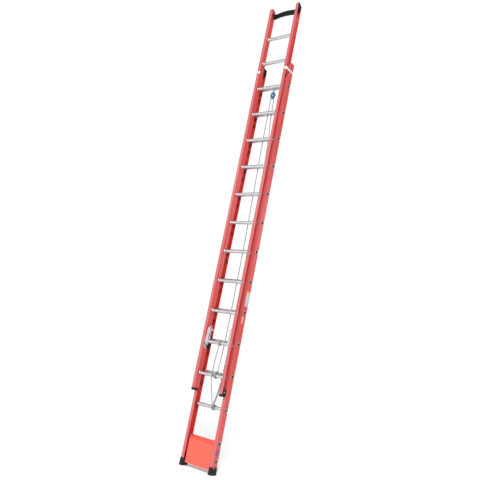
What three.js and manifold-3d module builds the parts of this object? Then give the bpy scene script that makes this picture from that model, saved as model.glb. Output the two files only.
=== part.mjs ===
// Two-section fibreglass extension ladder: a wide rear section stands on rubber shoes and a narrower
// front section slides up it, hoisted by a rope over a pulley and held by a pair of rung locks.
// Millimetres. +X is the climber's right, +Y points to the wall, +Z is up. The origin is on the floor,
// midway between the shoes and between the front and rear of the ladder.
import * as THREE from 'three';
import { mergeVertices } from 'three/addons/utils/BufferGeometryUtils.js';
import Module from 'manifold-3d';

const wasm = await Module();
wasm.setup();

// Driving dimensions
const gap = 0.3; // clearance left between pieces that touch
const sectionOffset = 31; // centre plane of each section, in front of and behind the origin
const railDepth = 72;
const flangeWidth = 34;
const railWall = 4;
const flyInnerHalf = 148.4; // half the clear width inside the front section
const baseOuterHalf = 189.1; // half the overall width of the rear section
const rungCount = 13;
const rungPitch = 300;
const rungRadius = 17;
const rungBore = 15;
const ringRadius = 19.5; // flared rung end
const ringThickness = 3;
const rungSides = 12;
const baseFirstRung = 266;
const braceHeight = 116;
const flyFirstRung = 848;
const baseFoot = 8;
const baseTop = 4131;
const flyFoot = 700;
const flyTop = 4830;
const endSlope = { base: 3, fly: 22 }; // how much lower the rear corner of a rail's top end is
const endRound = 10;
const ropeRadius = 4.5;
const ropeSides = 8;

const flyPlane = -sectionOffset;
const basePlane = sectionOffset;
const baseInnerHalf = baseOuterHalf - railWall;
const flyWebOuter = flyInnerHalf + railWall;
const half = railDepth / 2;

// Colours and finishes
const finish = (color, roughness, metalness = 0) =>
  () => new THREE.MeshStandardMaterial({ color, roughness, metalness });
const fibreglass = finish(0xd2382f, 0.42);
const aluminium = finish(0xc3c7cc, 0.35, 0.9);
const castAluminium = finish(0xa9abb4, 0.5, 0.8);
const rubber = finish(0x16181a, 0.85);
const plug = finish(0x111312, 0.6);
const panelPaint = finish(0xff7258, 0.45);
const steel = finish(0x8f959c, 0.3, 1);
const pulleyPaint = finish(0x4f6f8c, 0.4, 0.5);
const ropeFibre = finish(0x96a39c, 0.9);

const ladder = new THREE.Group();

function add(name, material, geometry) {
  const mesh = new THREE.Mesh(geometry, material());
  mesh.name = name;
  ladder.add(mesh);
}

// Solids: a three.js geometry becomes a manifold solid, is joined or cut, and turns back
function solid(geometry) {
  const bare = geometry.clone();
  for (const attribute of Object.keys(bare.attributes)) {
    if (attribute !== 'position') bare.deleteAttribute(attribute);
  }
  const merged = mergeVertices(bare, 1e-4);
  return new wasm.Manifold(new wasm.Mesh({
    numProp: 3,
    vertProperties: new Float32Array(merged.attributes.position.array),
    triVerts: new Uint32Array(merged.index.array),
  }));
}

function surface(body) {
  const mesh = body.getMesh();
  const geometry = new THREE.BufferGeometry();
  geometry.setAttribute('position', new THREE.BufferAttribute(mesh.vertProperties, 3));
  geometry.setIndex(new THREE.BufferAttribute(mesh.triVerts, 1));
  geometry.computeVertexNormals();
  return geometry;
}

const cut = (body, ...tools) =>
  surface(tools.reduce((left, tool) => left.subtract(solid(tool)), solid(body)));
const join = (...bodies) => surface(bodies.map(solid).reduce((sum, body) => sum.add(body)));
const shared = (a, b) => surface(solid(a).intersect(solid(b)));

// Plain shapes
const outline = (points) => new THREE.Shape(points.map(([u, v]) => new THREE.Vector2(u, v)));

function extrude(shape, depth, curveSegments = 6) {
  return new THREE.ExtrudeGeometry(shape, { depth, bevelEnabled: false, curveSegments });
}

// An outline in (y, z) carried from x = from to x = to
function sidePlate(shape, from, to) {
  const turn = new THREE.Matrix4().makeBasis(
    new THREE.Vector3(0, 1, 0), new THREE.Vector3(0, 0, 1), new THREE.Vector3(1, 0, 0));
  const [low, high] = [Math.min(from, to), Math.max(from, to)];
  return extrude(shape, high - low).applyMatrix4(turn).translate(low, 0, 0);
}

// An outline in (x, z) carried from y = front to y = rear
function frontPlate(shape, front, rear) {
  const turn = new THREE.Matrix4().makeBasis(
    new THREE.Vector3(1, 0, 0), new THREE.Vector3(0, 0, 1), new THREE.Vector3(0, -1, 0));
  return extrude(shape, rear - front).applyMatrix4(turn).translate(0, rear, 0);
}

function block([x0, x1], [y0, y1], [z0, z1]) {
  return new THREE.BoxGeometry(Math.abs(x1 - x0), y1 - y0, z1 - z0)
    .translate((x0 + x1) / 2, (y0 + y1) / 2, (z0 + z1) / 2);
}

function barAlongX(radius, from, to, y, z, sides = rungSides) {
  return new THREE.CylinderGeometry(radius, radius, Math.abs(to - from), sides)
    .rotateZ(-Math.PI / 2).translate((from + to) / 2, y, z);
}

function barAlongY(radius, from, to, x, z, sides = rungSides) {
  return new THREE.CylinderGeometry(radius, radius, to - from, sides).translate(x, (from + to) / 2, z);
}

// A closed (radius, length) profile turned about the X direction
function turnedAlongX(profile, x, y, z) {
  const points = [...profile, profile[0]].map(([r, length]) => new THREE.Vector2(r, length));
  return new THREE.LatheGeometry(points, rungSides).rotateZ(-Math.PI / 2).translate(x, y, z);
}

// The corners of a round outline about (u, v)
function round(u, v, radius, corners = rungSides) {
  return Array.from({ length: corners }, (_, i) => {
    const angle = 2 * Math.PI * i / corners;
    return [u + radius * Math.cos(angle), v + radius * Math.sin(angle)];
  });
}

const hole = (points) => new THREE.Path(points.map(([u, v]) => new THREE.Vector2(u, v)));

const rungHeights = (first) => Array.from({ length: rungCount }, (_, i) => first + i * rungPitch);
const sides = [['left', -1], ['right', 1]];

// Rails: a C-channel cut to a sloped, rounded top end and drilled for its rungs
function channel(webX, tipX, plane, foot, top) {
  const inward = Math.sign(tipX - webX);
  const innerX = webX + inward * railWall;
  const [front, rear] = [plane - half, plane + half];
  const section = outline([
    [webX, front], [tipX, front], [tipX, front + railWall], [innerX, front + railWall],
    [innerX, rear - railWall], [tipX, rear - railWall], [tipX, rear], [webX, rear],
  ]);
  return extrude(section, top - foot).translate(0, 0, foot);
}

function railSide(plane, foot, top, slope) {
  const [front, rear] = [plane - half, plane + half];
  const straight = (railDepth - 2 * endRound) / (railDepth - endRound);
  const shape = new THREE.Shape();
  shape.moveTo(front, foot);
  shape.lineTo(rear, foot);
  shape.lineTo(rear, top - slope - endRound);
  shape.quadraticCurveTo(rear, top - slope, rear - endRound, top - slope * straight);
  shape.lineTo(front + endRound, top);
  shape.quadraticCurveTo(front, top, front, top - endRound);
  return shape;
}

function rail(webX, tipX, plane, foot, top, slope, holeHeights) {
  const bar = channel(webX, tipX, plane, foot, top);
  const reach = 2 * railWall * Math.sign(webX);
  const ended = shared(bar, sidePlate(railSide(plane, foot, top, slope), webX * 0.7, webX * 1.3));
  const holes = holeHeights.map((z) =>
    barAlongX(rungRadius + gap, webX - reach, webX + reach, plane, z));
  return cut(ended, ...holes);
}

// Rungs: an open tube through both webs, flared into a ring outside each one
function rung(webOuter, plane, z) {
  const face = webOuter + gap;
  const end = face + ringThickness;
  return turnedAlongX([
    [rungBore, -end], [ringRadius, -end], [ringRadius, -face], [rungRadius, -face],
    [rungRadius, face], [ringRadius, face], [ringRadius, end], [rungBore, end],
  ], 0, plane, z);
}

function addSections() {
  const baseHeights = rungHeights(baseFirstRung);
  const flyHeights = rungHeights(flyFirstRung);
  for (const [side, s] of sides) {
    const baseTip = s * (baseOuterHalf - flangeWidth);
    add(`base_rail_${side}`, fibreglass,
      rail(s * baseOuterHalf, baseTip, basePlane, baseFoot, baseTop, endSlope.base,
        [braceHeight, ...baseHeights]));
    add(`fly_rail_${side}`, fibreglass,
      rail(s * flyInnerHalf, s * (flyInnerHalf + flangeWidth), flyPlane, flyFoot, flyTop, endSlope.fly,
        flyHeights));
  }
  add('lower_brace', aluminium, rung(baseOuterHalf, basePlane, braceHeight));
  baseHeights.forEach((z, i) =>
    add(`base_rung_${String(i + 1).padStart(2, '0')}`, aluminium, rung(baseOuterHalf, basePlane, z)));
  flyHeights.forEach((z, i) =>
    add(`fly_rung_${String(i + 1).padStart(2, '0')}`, aluminium, rung(flyWebOuter, flyPlane, z)));
}

// Rubber shoes: a block with a pocket of the rail's own section
function addShoes() {
  const shoeWall = 5;
  const shoeHeight = 66;
  for (const [side, s] of sides) {
    const [inner, outer] = [s * (baseOuterHalf - flangeWidth - shoeWall), s * (baseOuterHalf + shoeWall)];
    const [front, rear] = [basePlane - half - shoeWall, basePlane + half + shoeWall];
    const body = block([Math.min(inner, outer), Math.max(inner, outer)], [front, rear], [0, shoeHeight]);
    const [webX, tipX] = [s * (baseOuterHalf + gap), s * (baseOuterHalf - flangeWidth - gap)];
    const webInner = s * (baseInnerHalf - gap);
    const [y0, y1] = [basePlane - half - gap, basePlane + half + gap];
    const pocketWall = railWall + 2 * gap;
    const pocket = extrude(outline([
      [webX, y0], [tipX, y0], [tipX, y0 + pocketWall], [webInner, y0 + pocketWall],
      [webInner, y1 - pocketWall], [tipX, y1 - pocketWall], [tipX, y1], [webX, y1],
    ]), shoeHeight).translate(0, 0, baseFoot - gap);
    add(`shoe_${side}`, rubber, cut(body, pocket));
  }
}

// Moulded plugs in the ends of the channels
function addPlugs() {
  const plugHeight = 65;
  const railHang = 3; // how far a plug stands out of the rail's end
  const slidePath = 9; // room left beside the flange that slides past
  for (const [side, s] of sides) {
    const flyX = [s * (flyWebOuter + gap), s * (flyInnerHalf + flangeWidth - 0.5)];
    const flyY = [flyPlane - half + railWall + gap, flyPlane + half - railWall - slidePath];
    add(`fly_foot_plug_${side}`, plug, block(flyX, flyY, [flyFoot - railHang, flyFoot + 55]));

    const topFront = [flyPlane - half + railWall + gap, flyPlane + half - railWall - gap];
    add(`fly_top_plug_${side}`, plug,
      topPlug(flyX, topFront, flyPlane, flyTop + railHang, endSlope.fly, plugHeight));

    const baseX = [s * (baseInnerHalf - gap), s * (baseOuterHalf - flangeWidth + 0.5)];
    const baseY = [basePlane - half + railWall + slidePath, basePlane + half - railWall - gap];
    add(`base_top_plug_${side}`, plug,
      topPlug(baseX, baseY, basePlane, baseTop + railHang, endSlope.base, plugHeight));
  }
}

function topPlug(x, y, plane, top, slope, height) {
  const body = block(x, y, [top - slope - height, top]);
  const cap = sidePlate(railSide(plane, top - 2 * height - slope, top, slope), Math.sign(x[0]) * 100,
    Math.sign(x[0]) * 200);
  return shared(body, cap);
}

// Guide brackets: flat bar from the rear section's web, round the front section's front flange
function addGuideBrackets() {
  const barThickness = 3;
  const [low, high] = [4016, 4044];
  const front = -2 * sectionOffset - 10;
  const lipX = flyInnerHalf - 4.4;
  for (const [side, s] of sides) {
    const outer = baseOuterHalf + gap;
    const plan = outline([
      [s * outer, 60], [s * outer, front + barThickness],
      [s * (lipX + barThickness), front + barThickness], [s * (lipX + barThickness), front + 11],
      [s * lipX, front + 11], [s * lipX, front],
      [s * (outer + barThickness), front], [s * (outer + barThickness), 60],
    ]);
    add(`guide_bracket_${side}`, aluminium, extrude(plan, high - low).translate(0, 0, low));
  }
}

// Pole strap: a rubber belt between the front section's rails, bowed towards the climber
function addPoleStrap() {
  const [low, high] = [4724, 4790];
  const thickness = 5;
  const endX = flyInnerHalf - gap;
  const band = (inset) => {
    const x = endX - inset;
    const y = 3 - inset;
    const curve = new THREE.Path();
    curve.moveTo(-x, -46);
    curve.lineTo(-x, y - 13);
    curve.quadraticCurveTo(-x, y, -x + 14, y);
    curve.quadraticCurveTo(0, y - 34, x - 14, y);
    curve.quadraticCurveTo(x, y, x, y - 13);
    curve.lineTo(x, -46);
    return curve.getPoints(5);
  };
  const plan = new THREE.Shape([...band(0), ...band(thickness).reverse()]);
  add('pole_strap', rubber, extrude(plan, high - low).translate(0, 0, low));
}

// Kick panel: a sheet in front of the two lowest tubes, rolled over the upper one
function addKickPanel() {
  const halfWidth = 143;
  const sheet = 2;
  const inner = rungRadius + gap;
  const outer = inner + sheet;
  const bottom = 32;
  const shape = new THREE.Shape();
  shape.moveTo(basePlane - outer, bottom);
  shape.lineTo(basePlane - outer, baseFirstRung);
  shape.absarc(basePlane, baseFirstRung, outer, Math.PI, 0, true);
  shape.lineTo(basePlane + outer, baseFirstRung - 22);
  shape.lineTo(basePlane + inner, baseFirstRung - 22);
  shape.lineTo(basePlane + inner, baseFirstRung);
  shape.absarc(basePlane, baseFirstRung, inner, 0, Math.PI, false);
  shape.lineTo(basePlane - inner, bottom + sheet);
  shape.lineTo(basePlane - inner + 14, bottom + sheet);
  shape.lineTo(basePlane - inner + 14, bottom);
  add('kick_panel', panelPaint, sidePlate(shape, -halfWidth, halfWidth));
}

// Rung locks. Their pieces are laid out about the front section's second rung. At rest each hook stands clear
// of the rear section's rungs, so that the front section can slide, and it swings down over the held rung.
const lockRung = flyFirstRung + rungPitch;
const at = (y, z) => [flyPlane + y, lockRung + z];
const lockPivot = at(0, 30);
const heldRung = [2 * sectionOffset, -12]; // the held rung's centre, from the pivot
const hookSwing = 80; // degrees from clear to holding
const hookX = [119, 131];

function lockBracket(s) {
  const shape = outline([
    at(-24, -64), at(2, -78), at(14, -60), at(30, -20), at(32, 60), at(28, 118), at(16, 146),
    at(-4, 146), at(-16, 118), at(-30, 20),
  ]);
  shape.holes.push(hole(round(...at(0, 0), 21)));
  shape.holes.push(hole(round(...lockPivot, 4)));
  const web = flyInnerHalf - gap;
  const plate = sidePlate(shape, s * (web - 4), s * web);
  const head = barAlongX(8, s * (web - 11), s * (web - 3.5), ...at(6, 132), 6);
  return join(plate, head);
}

// The hook: a foot round the pivot, an open arm, and a seat whose centre meets the held rung's when it has
// swung down
function lockHook(s) {
  const deg = Math.PI / 180;
  const fromPivot = (y, z) => [lockPivot[0] + y, lockPivot[1] + z];
  const reach = Math.hypot(...heldRung);
  const bearing = Math.atan2(heldRung[1], heldRung[0]) + hookSwing * deg;
  const seat = rungRadius / Math.cos(15 * deg) + gap; // the seat's flats stay outside the rung
  const onSeat = (angle) => fromPivot(
    reach * Math.cos(bearing) + seat * Math.cos(angle * deg),
    reach * Math.sin(bearing) + seat * Math.sin(angle * deg));
  const shape = outline([
    fromPivot(-9, 0), fromPivot(-7, -6), fromPivot(0, -9), fromPivot(7, -6), fromPivot(10, 0),
    fromPivot(16, 22), fromPivot(15, 40), ...[238, 210, 180, 150, 122, 98].map(onSeat),
    fromPivot(37.4, 74.4), fromPivot(41.5, 74.2), fromPivot(43, 79), fromPivot(42.4, 85),
    fromPivot(37, 90), fromPivot(13, 96), fromPivot(4, 93), fromPivot(-3, 84), fromPivot(-13, 60),
    fromPivot(-14, 46),
  ]);
  shape.holes.push(hole(round(...lockPivot, 4)));
  shape.holes.push(hole([fromPivot(-4, 13), fromPivot(7, 13), fromPivot(8.5, 32), fromPivot(-7, 46)]));
  return sidePlate(shape, s * hookX[0], s * hookX[1]);
}

// A moulded finger under the hook guides the rungs as they pass
function lockFinger(s) {
  const shape = outline([
    at(22, -26), at(33, -20), at(41, -28), at(43, -56), at(37, -72), at(28, -72), at(21, -50),
  ]);
  return sidePlate(shape, s * hookX[0], s * (flyInnerHalf - 4 - 2 * gap));
}

function lockPin(s) {
  const web = flyInnerHalf - gap;
  const shank = barAlongX(3.7, s * (web - 0.5), s * (hookX[0] - 4), ...lockPivot, 10);
  const head = barAlongX(7, s * (hookX[0] - 5), s * (hookX[0] - 0.6), ...lockPivot, 10);
  return join(shank, head);
}

function addRungLocks() {
  for (const [side, s] of sides) {
    add(`lock_bracket_${side}`, castAluminium, lockBracket(s));
    add(`lock_pin_${side}`, steel, lockPin(s));
    add(`lock_hook_${side}`, castAluminium, lockHook(s));
    add(`lock_finger_${side}`, plug, lockFinger(s));
  }
}

// Pulley: hung in front of the rear section's top rung, in the space between the two sections
const topRung = baseFirstRung + (rungCount - 1) * rungPitch;
const pulleyX = 36;
const pulleyZ = topRung - 103;
const pitchRadius = 19.3;
const hangerPinZ = pulleyZ + 33;

function addPulley() {
  const band = outline(round(basePlane, topRung, rungRadius + 3.5));
  band.holes.push(hole(round(basePlane, topRung, rungRadius + gap)));
  const leg = outline([
    [-1.5, hangerPinZ - 6], [1.5, hangerPinZ - 6], [1.5, topRung - 26], [16, topRung - 17],
    [13, topRung - 9], [-1.5, topRung - 20],
  ]);
  const hanger = join(sidePlate(band, pulleyX - 11, pulleyX + 11), sidePlate(leg, pulleyX - 9, pulleyX + 9));
  add('pulley_hanger', steel, cut(hanger, barAlongY(3.8, -6, 6, pulleyX, hangerPinZ, 10)));

  const cheek = outline([
    [-9, 41], [9, 41], [24, 22], [28, 0], [14, -30], [6, -37], [-6, -37], [-14, -30], [-28, 0], [-24, 22],
  ].map(([x, z]) => [pulleyX + x, pulleyZ + z]));
  cheek.holes.push(hole(round(pulleyX, pulleyZ, 4.3)));
  const pin = barAlongY(3.5, -7, 7, pulleyX, hangerPinZ, 10);
  add('pulley_block', pulleyPaint, join(frontPlate(cheek, -8.5, -6.5), frontPlate(cheek, 6.5, 8.5), pin));

  const groove = pitchRadius - ropeRadius - 0.9; // below the rope's flats between its steps
  const wheel = [
    [4.3, -6.2], [20, -6.2], [20, -5.6], [groove, -3.4], [groove, 3.4], [20, 5.6], [20, 6.2], [4.3, 6.2],
  ].map(([r, y]) => new THREE.Vector2(r, y));
  add('sheave', plug,
    new THREE.LatheGeometry([...wheel, wheel[0]], 16).translate(pulleyX, 0, pulleyZ));

  const axle = join(barAlongY(4, -9, 9, pulleyX, pulleyZ), barAlongY(6.5, -11, -8.8, pulleyX, pulleyZ),
    barAlongY(6.5, 8.8, 11, pulleyX, pulleyZ));
  add('sheave_axle', steel, axle);
}

// Rope: one extrusion step for each span between the points of a route
class StepPath extends THREE.CatmullRomCurve3 {
  getUtoTmapping(u) {
    return u;
  }
}

function rope(points) {
  const path = new StepPath(points.map((p) => new THREE.Vector3(...p)), false, 'centripetal');
  const section = outline(round(0, 0, ropeRadius, ropeSides));
  return new THREE.ExtrudeGeometry(section, { steps: points.length - 1, extrudePath: path });
}

// The knot is a few turns round a rung with a lump where the strands leave it
function knot(x, plane, z, lump) {
  const [inner, outer, width] = [rungRadius + gap, rungRadius + 10, 13];
  const turns = turnedAlongX([[inner, -width], [outer, -width], [outer, width], [inner, width]], x, plane, z);
  return join(turns, new THREE.SphereGeometry(13, 8, 6).translate(...lump));
}

function addRope() {
  const overSheave = Array.from({ length: 9 }, (_, i) => {
    const angle = Math.PI * (1 - i / 8);
    return [pulleyX + pitchRadius * Math.cos(angle), 0, pulleyZ + pitchRadius * Math.sin(angle)];
  });
  const haulRun = [
    [56, 0, 3720], [60, 0, 3600], [68, 0, 3480], [80, 0, 3360], [92, 0, 3220], [100, 0, 3060],
    [104, 0, 2860], [104, 0, 2300], [104, 0, 1700], [104, 0, 1150], [103, 0, 900], [99, 0, 800],
    [88, 1, 720], [72, 4, 650], [60, 6, 610],
  ];
  add('rope_haul_strand', ropeFibre, rope([...overSheave, ...haulRun]));
  add('rope_fly_strand', ropeFibre, rope([
    [pulleyX - pitchRadius, 0, pulleyZ - 1], [19, 0, 3500], [24, 0, 3200], [33, 0, 2850], [43, 0, 2450],
    [49, 0, 2100], [51, 0, 1750], [51, 0, 1400], [50, 0, 1180], [48, -3, 1050], [46, -10, 960],
    [45, -14, 897],
  ]));
  add('rope_tail', ropeFibre, rope([
    [40, 2, 604], [30, -14, 660], [18, -34, 730], [9, -49, 790], [6, -55, 850], [7, -56, 930],
    [11, -55, 1030], [15, -53.5, 1112],
  ]));
  add('fly_knot', ropeFibre, knot(45, flyPlane, flyFirstRung, [45, -14, flyFirstRung + 30]));
  add('base_knot', ropeFibre,
    knot(50, basePlane, baseFirstRung + rungPitch, [50, basePlane - 31, baseFirstRung + rungPitch + 6]));
}

addSections();
addShoes();
addPlugs();
addGuideBrackets();
addPoleStrap();
addKickPanel();
addRungLocks();
addPulley();
addRope();

export default ladder;
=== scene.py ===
"""Looks of a two-section fibreglass extension ladder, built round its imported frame.

Lengths are metres in the frame's own axes: X to the climber's right, Y towards the wall and Z up. Sizes written
as a number times MM are millimetres.
"""

import math

import bmesh
import bpy
import numpy as np
from mathutils import Matrix, Vector


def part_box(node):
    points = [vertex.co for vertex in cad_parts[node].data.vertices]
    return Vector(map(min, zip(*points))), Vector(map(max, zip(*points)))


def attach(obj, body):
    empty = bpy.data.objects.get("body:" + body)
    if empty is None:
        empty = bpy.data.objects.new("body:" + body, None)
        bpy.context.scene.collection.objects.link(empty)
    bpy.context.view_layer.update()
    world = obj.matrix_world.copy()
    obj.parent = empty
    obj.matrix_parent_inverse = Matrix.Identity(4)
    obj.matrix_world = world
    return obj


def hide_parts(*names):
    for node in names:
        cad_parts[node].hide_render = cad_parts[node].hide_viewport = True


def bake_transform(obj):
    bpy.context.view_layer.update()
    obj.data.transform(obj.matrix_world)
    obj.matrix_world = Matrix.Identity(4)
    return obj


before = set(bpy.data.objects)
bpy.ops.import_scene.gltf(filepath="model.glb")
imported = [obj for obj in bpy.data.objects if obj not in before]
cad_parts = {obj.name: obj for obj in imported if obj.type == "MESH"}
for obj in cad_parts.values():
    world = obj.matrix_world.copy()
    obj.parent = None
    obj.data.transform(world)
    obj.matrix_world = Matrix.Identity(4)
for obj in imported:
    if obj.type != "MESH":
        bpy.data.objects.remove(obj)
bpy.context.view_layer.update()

bl_info = {
    "name": "Extension Ladder Looks",
    "version": (1, 0, 0),
    "blender": (4, 5, 0),
    "location": "3D View > Sidebar > Ladder",
    "description": "Builds the visible pieces of a two-section extension ladder round its packed frame",
    "category": "Object",
}

MM = 0.001
SIDES = (("left", -1), ("right", 1))
RUNGS = range(1, 14)
WELD = 1e-6  # points nearer than this are one point


def span(node):
    """Lowest and highest corner of a node of the frame."""
    low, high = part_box(node)
    return np.array(low), np.array(high)


def middle(node):
    """Centre of a node's box."""
    low, high = span(node)
    return (low + high) / 2


# --------------------------------------------------------------------------------------------------
# Surfaces
# --------------------------------------------------------------------------------------------------


class Shape:
    """A surface: points, faces, the (u, v) of each point and how much the point is rubbed in use, 0 to 1; on a rung's
    bore the same number marks where painted shade goes.
    """

    def __init__(self, points, faces, uv=None, rub=None):
        self.points = np.asarray(points, float).reshape(-1, 3)
        self.faces = faces
        count = len(self.points)
        self.uv = np.zeros((count, 2)) if uv is None else np.asarray(uv, float).reshape(-1, 2)
        self.rub = np.zeros(count) if rub is None else np.asarray(rub, float).reshape(-1)

    def moved(self, by):
        """The same surface, shifted."""
        return Shape(self.points + np.asarray(by), self.faces, self.uv, self.rub)


def grid(points, close_rows=False, caps=(False, False), uv=None, rub=None):
    """Quads between the rows of a (rows, columns, 3) array of points. Its last column repeats the first where it
    goes round, and merges with it later. A cap closes the first or last row with one flat face."""
    rows, columns = points.shape[:2]
    row = np.arange(rows if close_rows else rows - 1)[:, None]
    column = np.arange(columns - 1)[None, :]
    after = (row + 1) % rows
    quads = np.stack([
        row * columns + column, after * columns + column,
        after * columns + column + 1, row * columns + column + 1,
    ], -1).reshape(-1, 4)
    faces = quads.tolist()
    if caps[0]:
        faces.append(list(range(columns - 1)))
    if caps[1]:
        faces.append([(rows - 1) * columns + i for i in range(columns - 1)][::-1])
    return Shape(points, faces, uv, rub)


def unit(vectors):
    """Each vector over its length."""
    vectors = np.asarray(vectors, float)
    return vectors / np.maximum(np.linalg.norm(vectors, axis=-1, keepdims=True), 1e-12)


def run_of(line):
    """Distance along a line from its first point to each of its points."""
    return np.concatenate([[0], np.cumsum(np.linalg.norm(np.diff(line, axis=0), axis=1))])


def picked(line, at):
    """The points of a line at those distances along it."""
    run = run_of(line)
    return np.stack([np.interp(at, run, part) for part in line.T], -1)


def smooth_step(low, high, value):
    """0 below low, 1 above high and an even S between: 3t^2 - 2t^3."""
    t = np.clip((np.asarray(value, float) - low) / (high - low), 0, 1)
    return t * t * (3 - 2 * t)


def bent(line, radius, steps=6):
    """A line of straight stretches with its corners rounded: round a corner it follows the quadratic curve that
    leaves one side, and meets the next, at that radius from the corner."""
    line = np.asarray(line, float)
    corner = line[1:-1]
    leave = corner + radius * unit(line[:-2] - corner)
    meet = corner + radius * unit(line[2:] - corner)
    t = np.linspace(0, 1, steps + 1)[None, :, None]
    curve = (1 - t) ** 2 * leave[:, None] + 2 * t * (1 - t) * corner[:, None] + t**2 * meet[:, None]
    return np.concatenate([line[:1], curve.reshape(-1, line.shape[1]), line[-1:]])


def through(points, step):
    """A smooth line through points: the cubic over each span whose slope at a point is that of the straight line
    between the points on either side of it, taken at even distances."""
    points = np.asarray(points, float)
    run = run_of(points)
    slope = np.gradient(points, run, axis=0)
    at = np.linspace(0, run[-1], max(2, round(run[-1] / step) + 1))
    i = np.clip(np.searchsorted(run, at, side="right") - 1, 0, len(run) - 2)
    width = (run[i + 1] - run[i])[:, None]
    t = (at - run[i])[:, None] / width
    return (
        (2 * t**3 - 3 * t**2 + 1) * points[i] + (t**3 - 2 * t**2 + t) * width * slope[i]
        + (3 * t**2 - 2 * t**3) * points[i + 1] + (t**3 - t**2) * width * slope[i + 1]
    )


def basis(axis):
    """Three square directions as rows, the last of them along the axis."""
    third = unit(axis)
    helper = np.array([0, 0, 1.0]) if abs(third[2]) < 0.9 else np.array([1.0, 0, 0])
    first = unit(np.cross(helper, third))
    return np.stack([first, np.cross(third, first), third])


def turned(profile, sides, centre, axis, closed=False, rub=None):
    """A surface of revolution: each (radius, height) of the profile goes once round the axis. The profile starts
    and ends on the axis, or is closed on itself."""
    radius, height = np.asarray(profile, float).T
    angle = np.linspace(0, 2 * np.pi, sides + 1)
    local = np.stack([
        radius[:, None] * np.cos(angle), radius[:, None] * np.sin(angle),
        np.repeat(height[:, None], sides + 1, 1),
    ], -1)
    worn = None if rub is None else np.repeat(np.asarray(rub, float)[:, None], sides + 1, 1)
    return grid(local @ basis(axis) + np.asarray(centre), close_rows=closed, rub=worn)


def tube(path, radius, sides, aside):
    """A tube along a path. Its section at each point is a circle square to the path, or one whose radius changes
    round it where radius has a column for each side, and starts from the direction square to aside."""
    along = unit(np.gradient(path, axis=0))
    first = unit(np.cross(np.broadcast_to(aside, along.shape), along))
    second = np.cross(along, first)
    angle = np.linspace(0, 2 * np.pi, sides + 1)[None, :, None]
    out = first[:, None] * np.cos(angle) + second[:, None] * np.sin(angle)
    reach = np.broadcast_to(np.asarray(radius, float), (len(path), sides + 1))
    uv = np.stack(np.broadcast_arrays(angle[..., 0] / (2 * np.pi), run_of(path)[:, None]), -1)
    return grid(path[:, None] + out * reach[..., None], caps=(True, True), uv=uv)


def strip(line, thickness, stations, place, spacing, marks=()):
    """A sheet bent along a line and carried sideways through stations. Half the thickness stands on each side of
    the line, along its normal, and shrinks at both of the line's ends as a half circle does. A station is the
    height, as a number or a function of the outline's points, and the share of the thickness there. place turns
    (u, v, height) into x, y and z. The rub fades with the distance from the marks, or is each station's share."""
    half = thickness / 2
    run = run_of(line)
    tip = half * (1 - np.cos(np.radians([12, 35, 60, 90])))
    spread = np.linspace(half, run[-1] - half, max(2, round((run[-1] - thickness) / spacing)))
    inner = run[(run > half) & (run < run[-1] - half)]
    at = np.unique(np.round(np.concatenate([tip, spread, inner, run[-1] - tip]), 7))
    centre = picked(line, at)
    along = unit(np.gradient(centre, at, axis=0))
    normal = np.stack([-along[:, 1], along[:, 0]], -1)
    edge = np.minimum(np.minimum(at, run[-1] - at) / half, 1)
    reach = (half * np.sqrt(1 - (1 - edge) ** 2))[:, None] * normal
    spine = np.concatenate([centre, centre[::-1], centre[:1]])
    sideways = np.concatenate([reach, -reach[::-1], reach[:1]])
    rows = []
    for height, share in stations:
        flat = spine + sideways * share
        w = height(flat) if callable(height) else np.full(len(flat), height)
        rows.append(np.stack(place(flat[:, 0], flat[:, 1], w), -1))
    columns = len(spine)
    rub = np.repeat(np.array([share for _, share in stations])[:, None], columns, 1)
    if len(marks):
        away = np.linalg.norm(spine[:, None] - np.asarray(marks)[None], axis=-1).min(axis=1)
        rub = np.broadcast_to(np.exp(-((away / (4 * MM)) ** 2)), rub.shape)
    uv = np.stack(np.broadcast_arrays(
        np.concatenate([at, at[::-1], at[:1]])[None, :], np.arange(len(rows))[:, None]), -1)
    made = grid(np.array(rows), uv=uv, rub=rub)
    i = np.arange(len(at) - 1)
    last = 2 * len(at) - 1
    for row in (0, len(rows) - 1):
        ends = np.stack([i, i + 1, last - 1 - i, last - i], -1) + row * columns
        made.faces += ends.tolist()
    return made


def carried(outline, stations, place):
    """A closed outline carried through stations, each a height and how far the outline stands in from its edge
    there, along the normal. Flat faces close both ends."""
    outline = np.asarray(outline, float)
    along = unit(np.roll(outline, -1, 0) - np.roll(outline, 1, 0))
    inward = np.stack([-along[:, 1], along[:, 0]], -1)
    if np.cross(outline, np.roll(outline, -1, 0)).sum() < 0:
        inward = -inward
    rows = []
    for height, inset in stations:
        flat = outline + inward * inset
        flat = np.concatenate([flat, flat[:1]])
        rows.append(np.stack(place(flat[:, 0], flat[:, 1], np.full(len(flat), height)), -1))
    edge = [1 if 0 < i < len(stations) - 1 else 0.6 for i in range(len(stations))]
    rub = np.repeat(np.array(edge)[:, None], len(outline) + 1, 1) * 0.8
    return grid(np.array(rows), caps=(True, True), rub=rub)


def plate(outline, low, high, ease, place):
    """A flat plate between two heights, with its edges rounded."""
    return carried(outline, [(low, ease), (low + ease * 0.3, ease * 0.3), (low + ease, 0), (high - ease, 0),
                             (high - ease * 0.3, ease * 0.3), (high, ease)], place)


def rounded(corners, radius, steps=4):
    """A closed outline of straight sides with each corner rounded, as bent does, by at most 0.45 of a side."""
    corners = np.asarray(corners, float)
    before, after = np.roll(corners, 1, 0) - corners, np.roll(corners, -1, 0) - corners
    shorter = np.minimum(np.linalg.norm(before, axis=1), np.linalg.norm(after, axis=1))[:, None]
    reach = np.minimum(radius, 0.45 * shorter)
    leave, meet = corners + reach * unit(before), corners + reach * unit(after)
    t = np.linspace(0, 1, steps + 1)[None, :, None]
    curve = (1 - t) ** 2 * leave[:, None] + 2 * t * (1 - t) * corners[:, None] + t**2 * meet[:, None]
    return curve.reshape(-1, 2)


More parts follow.
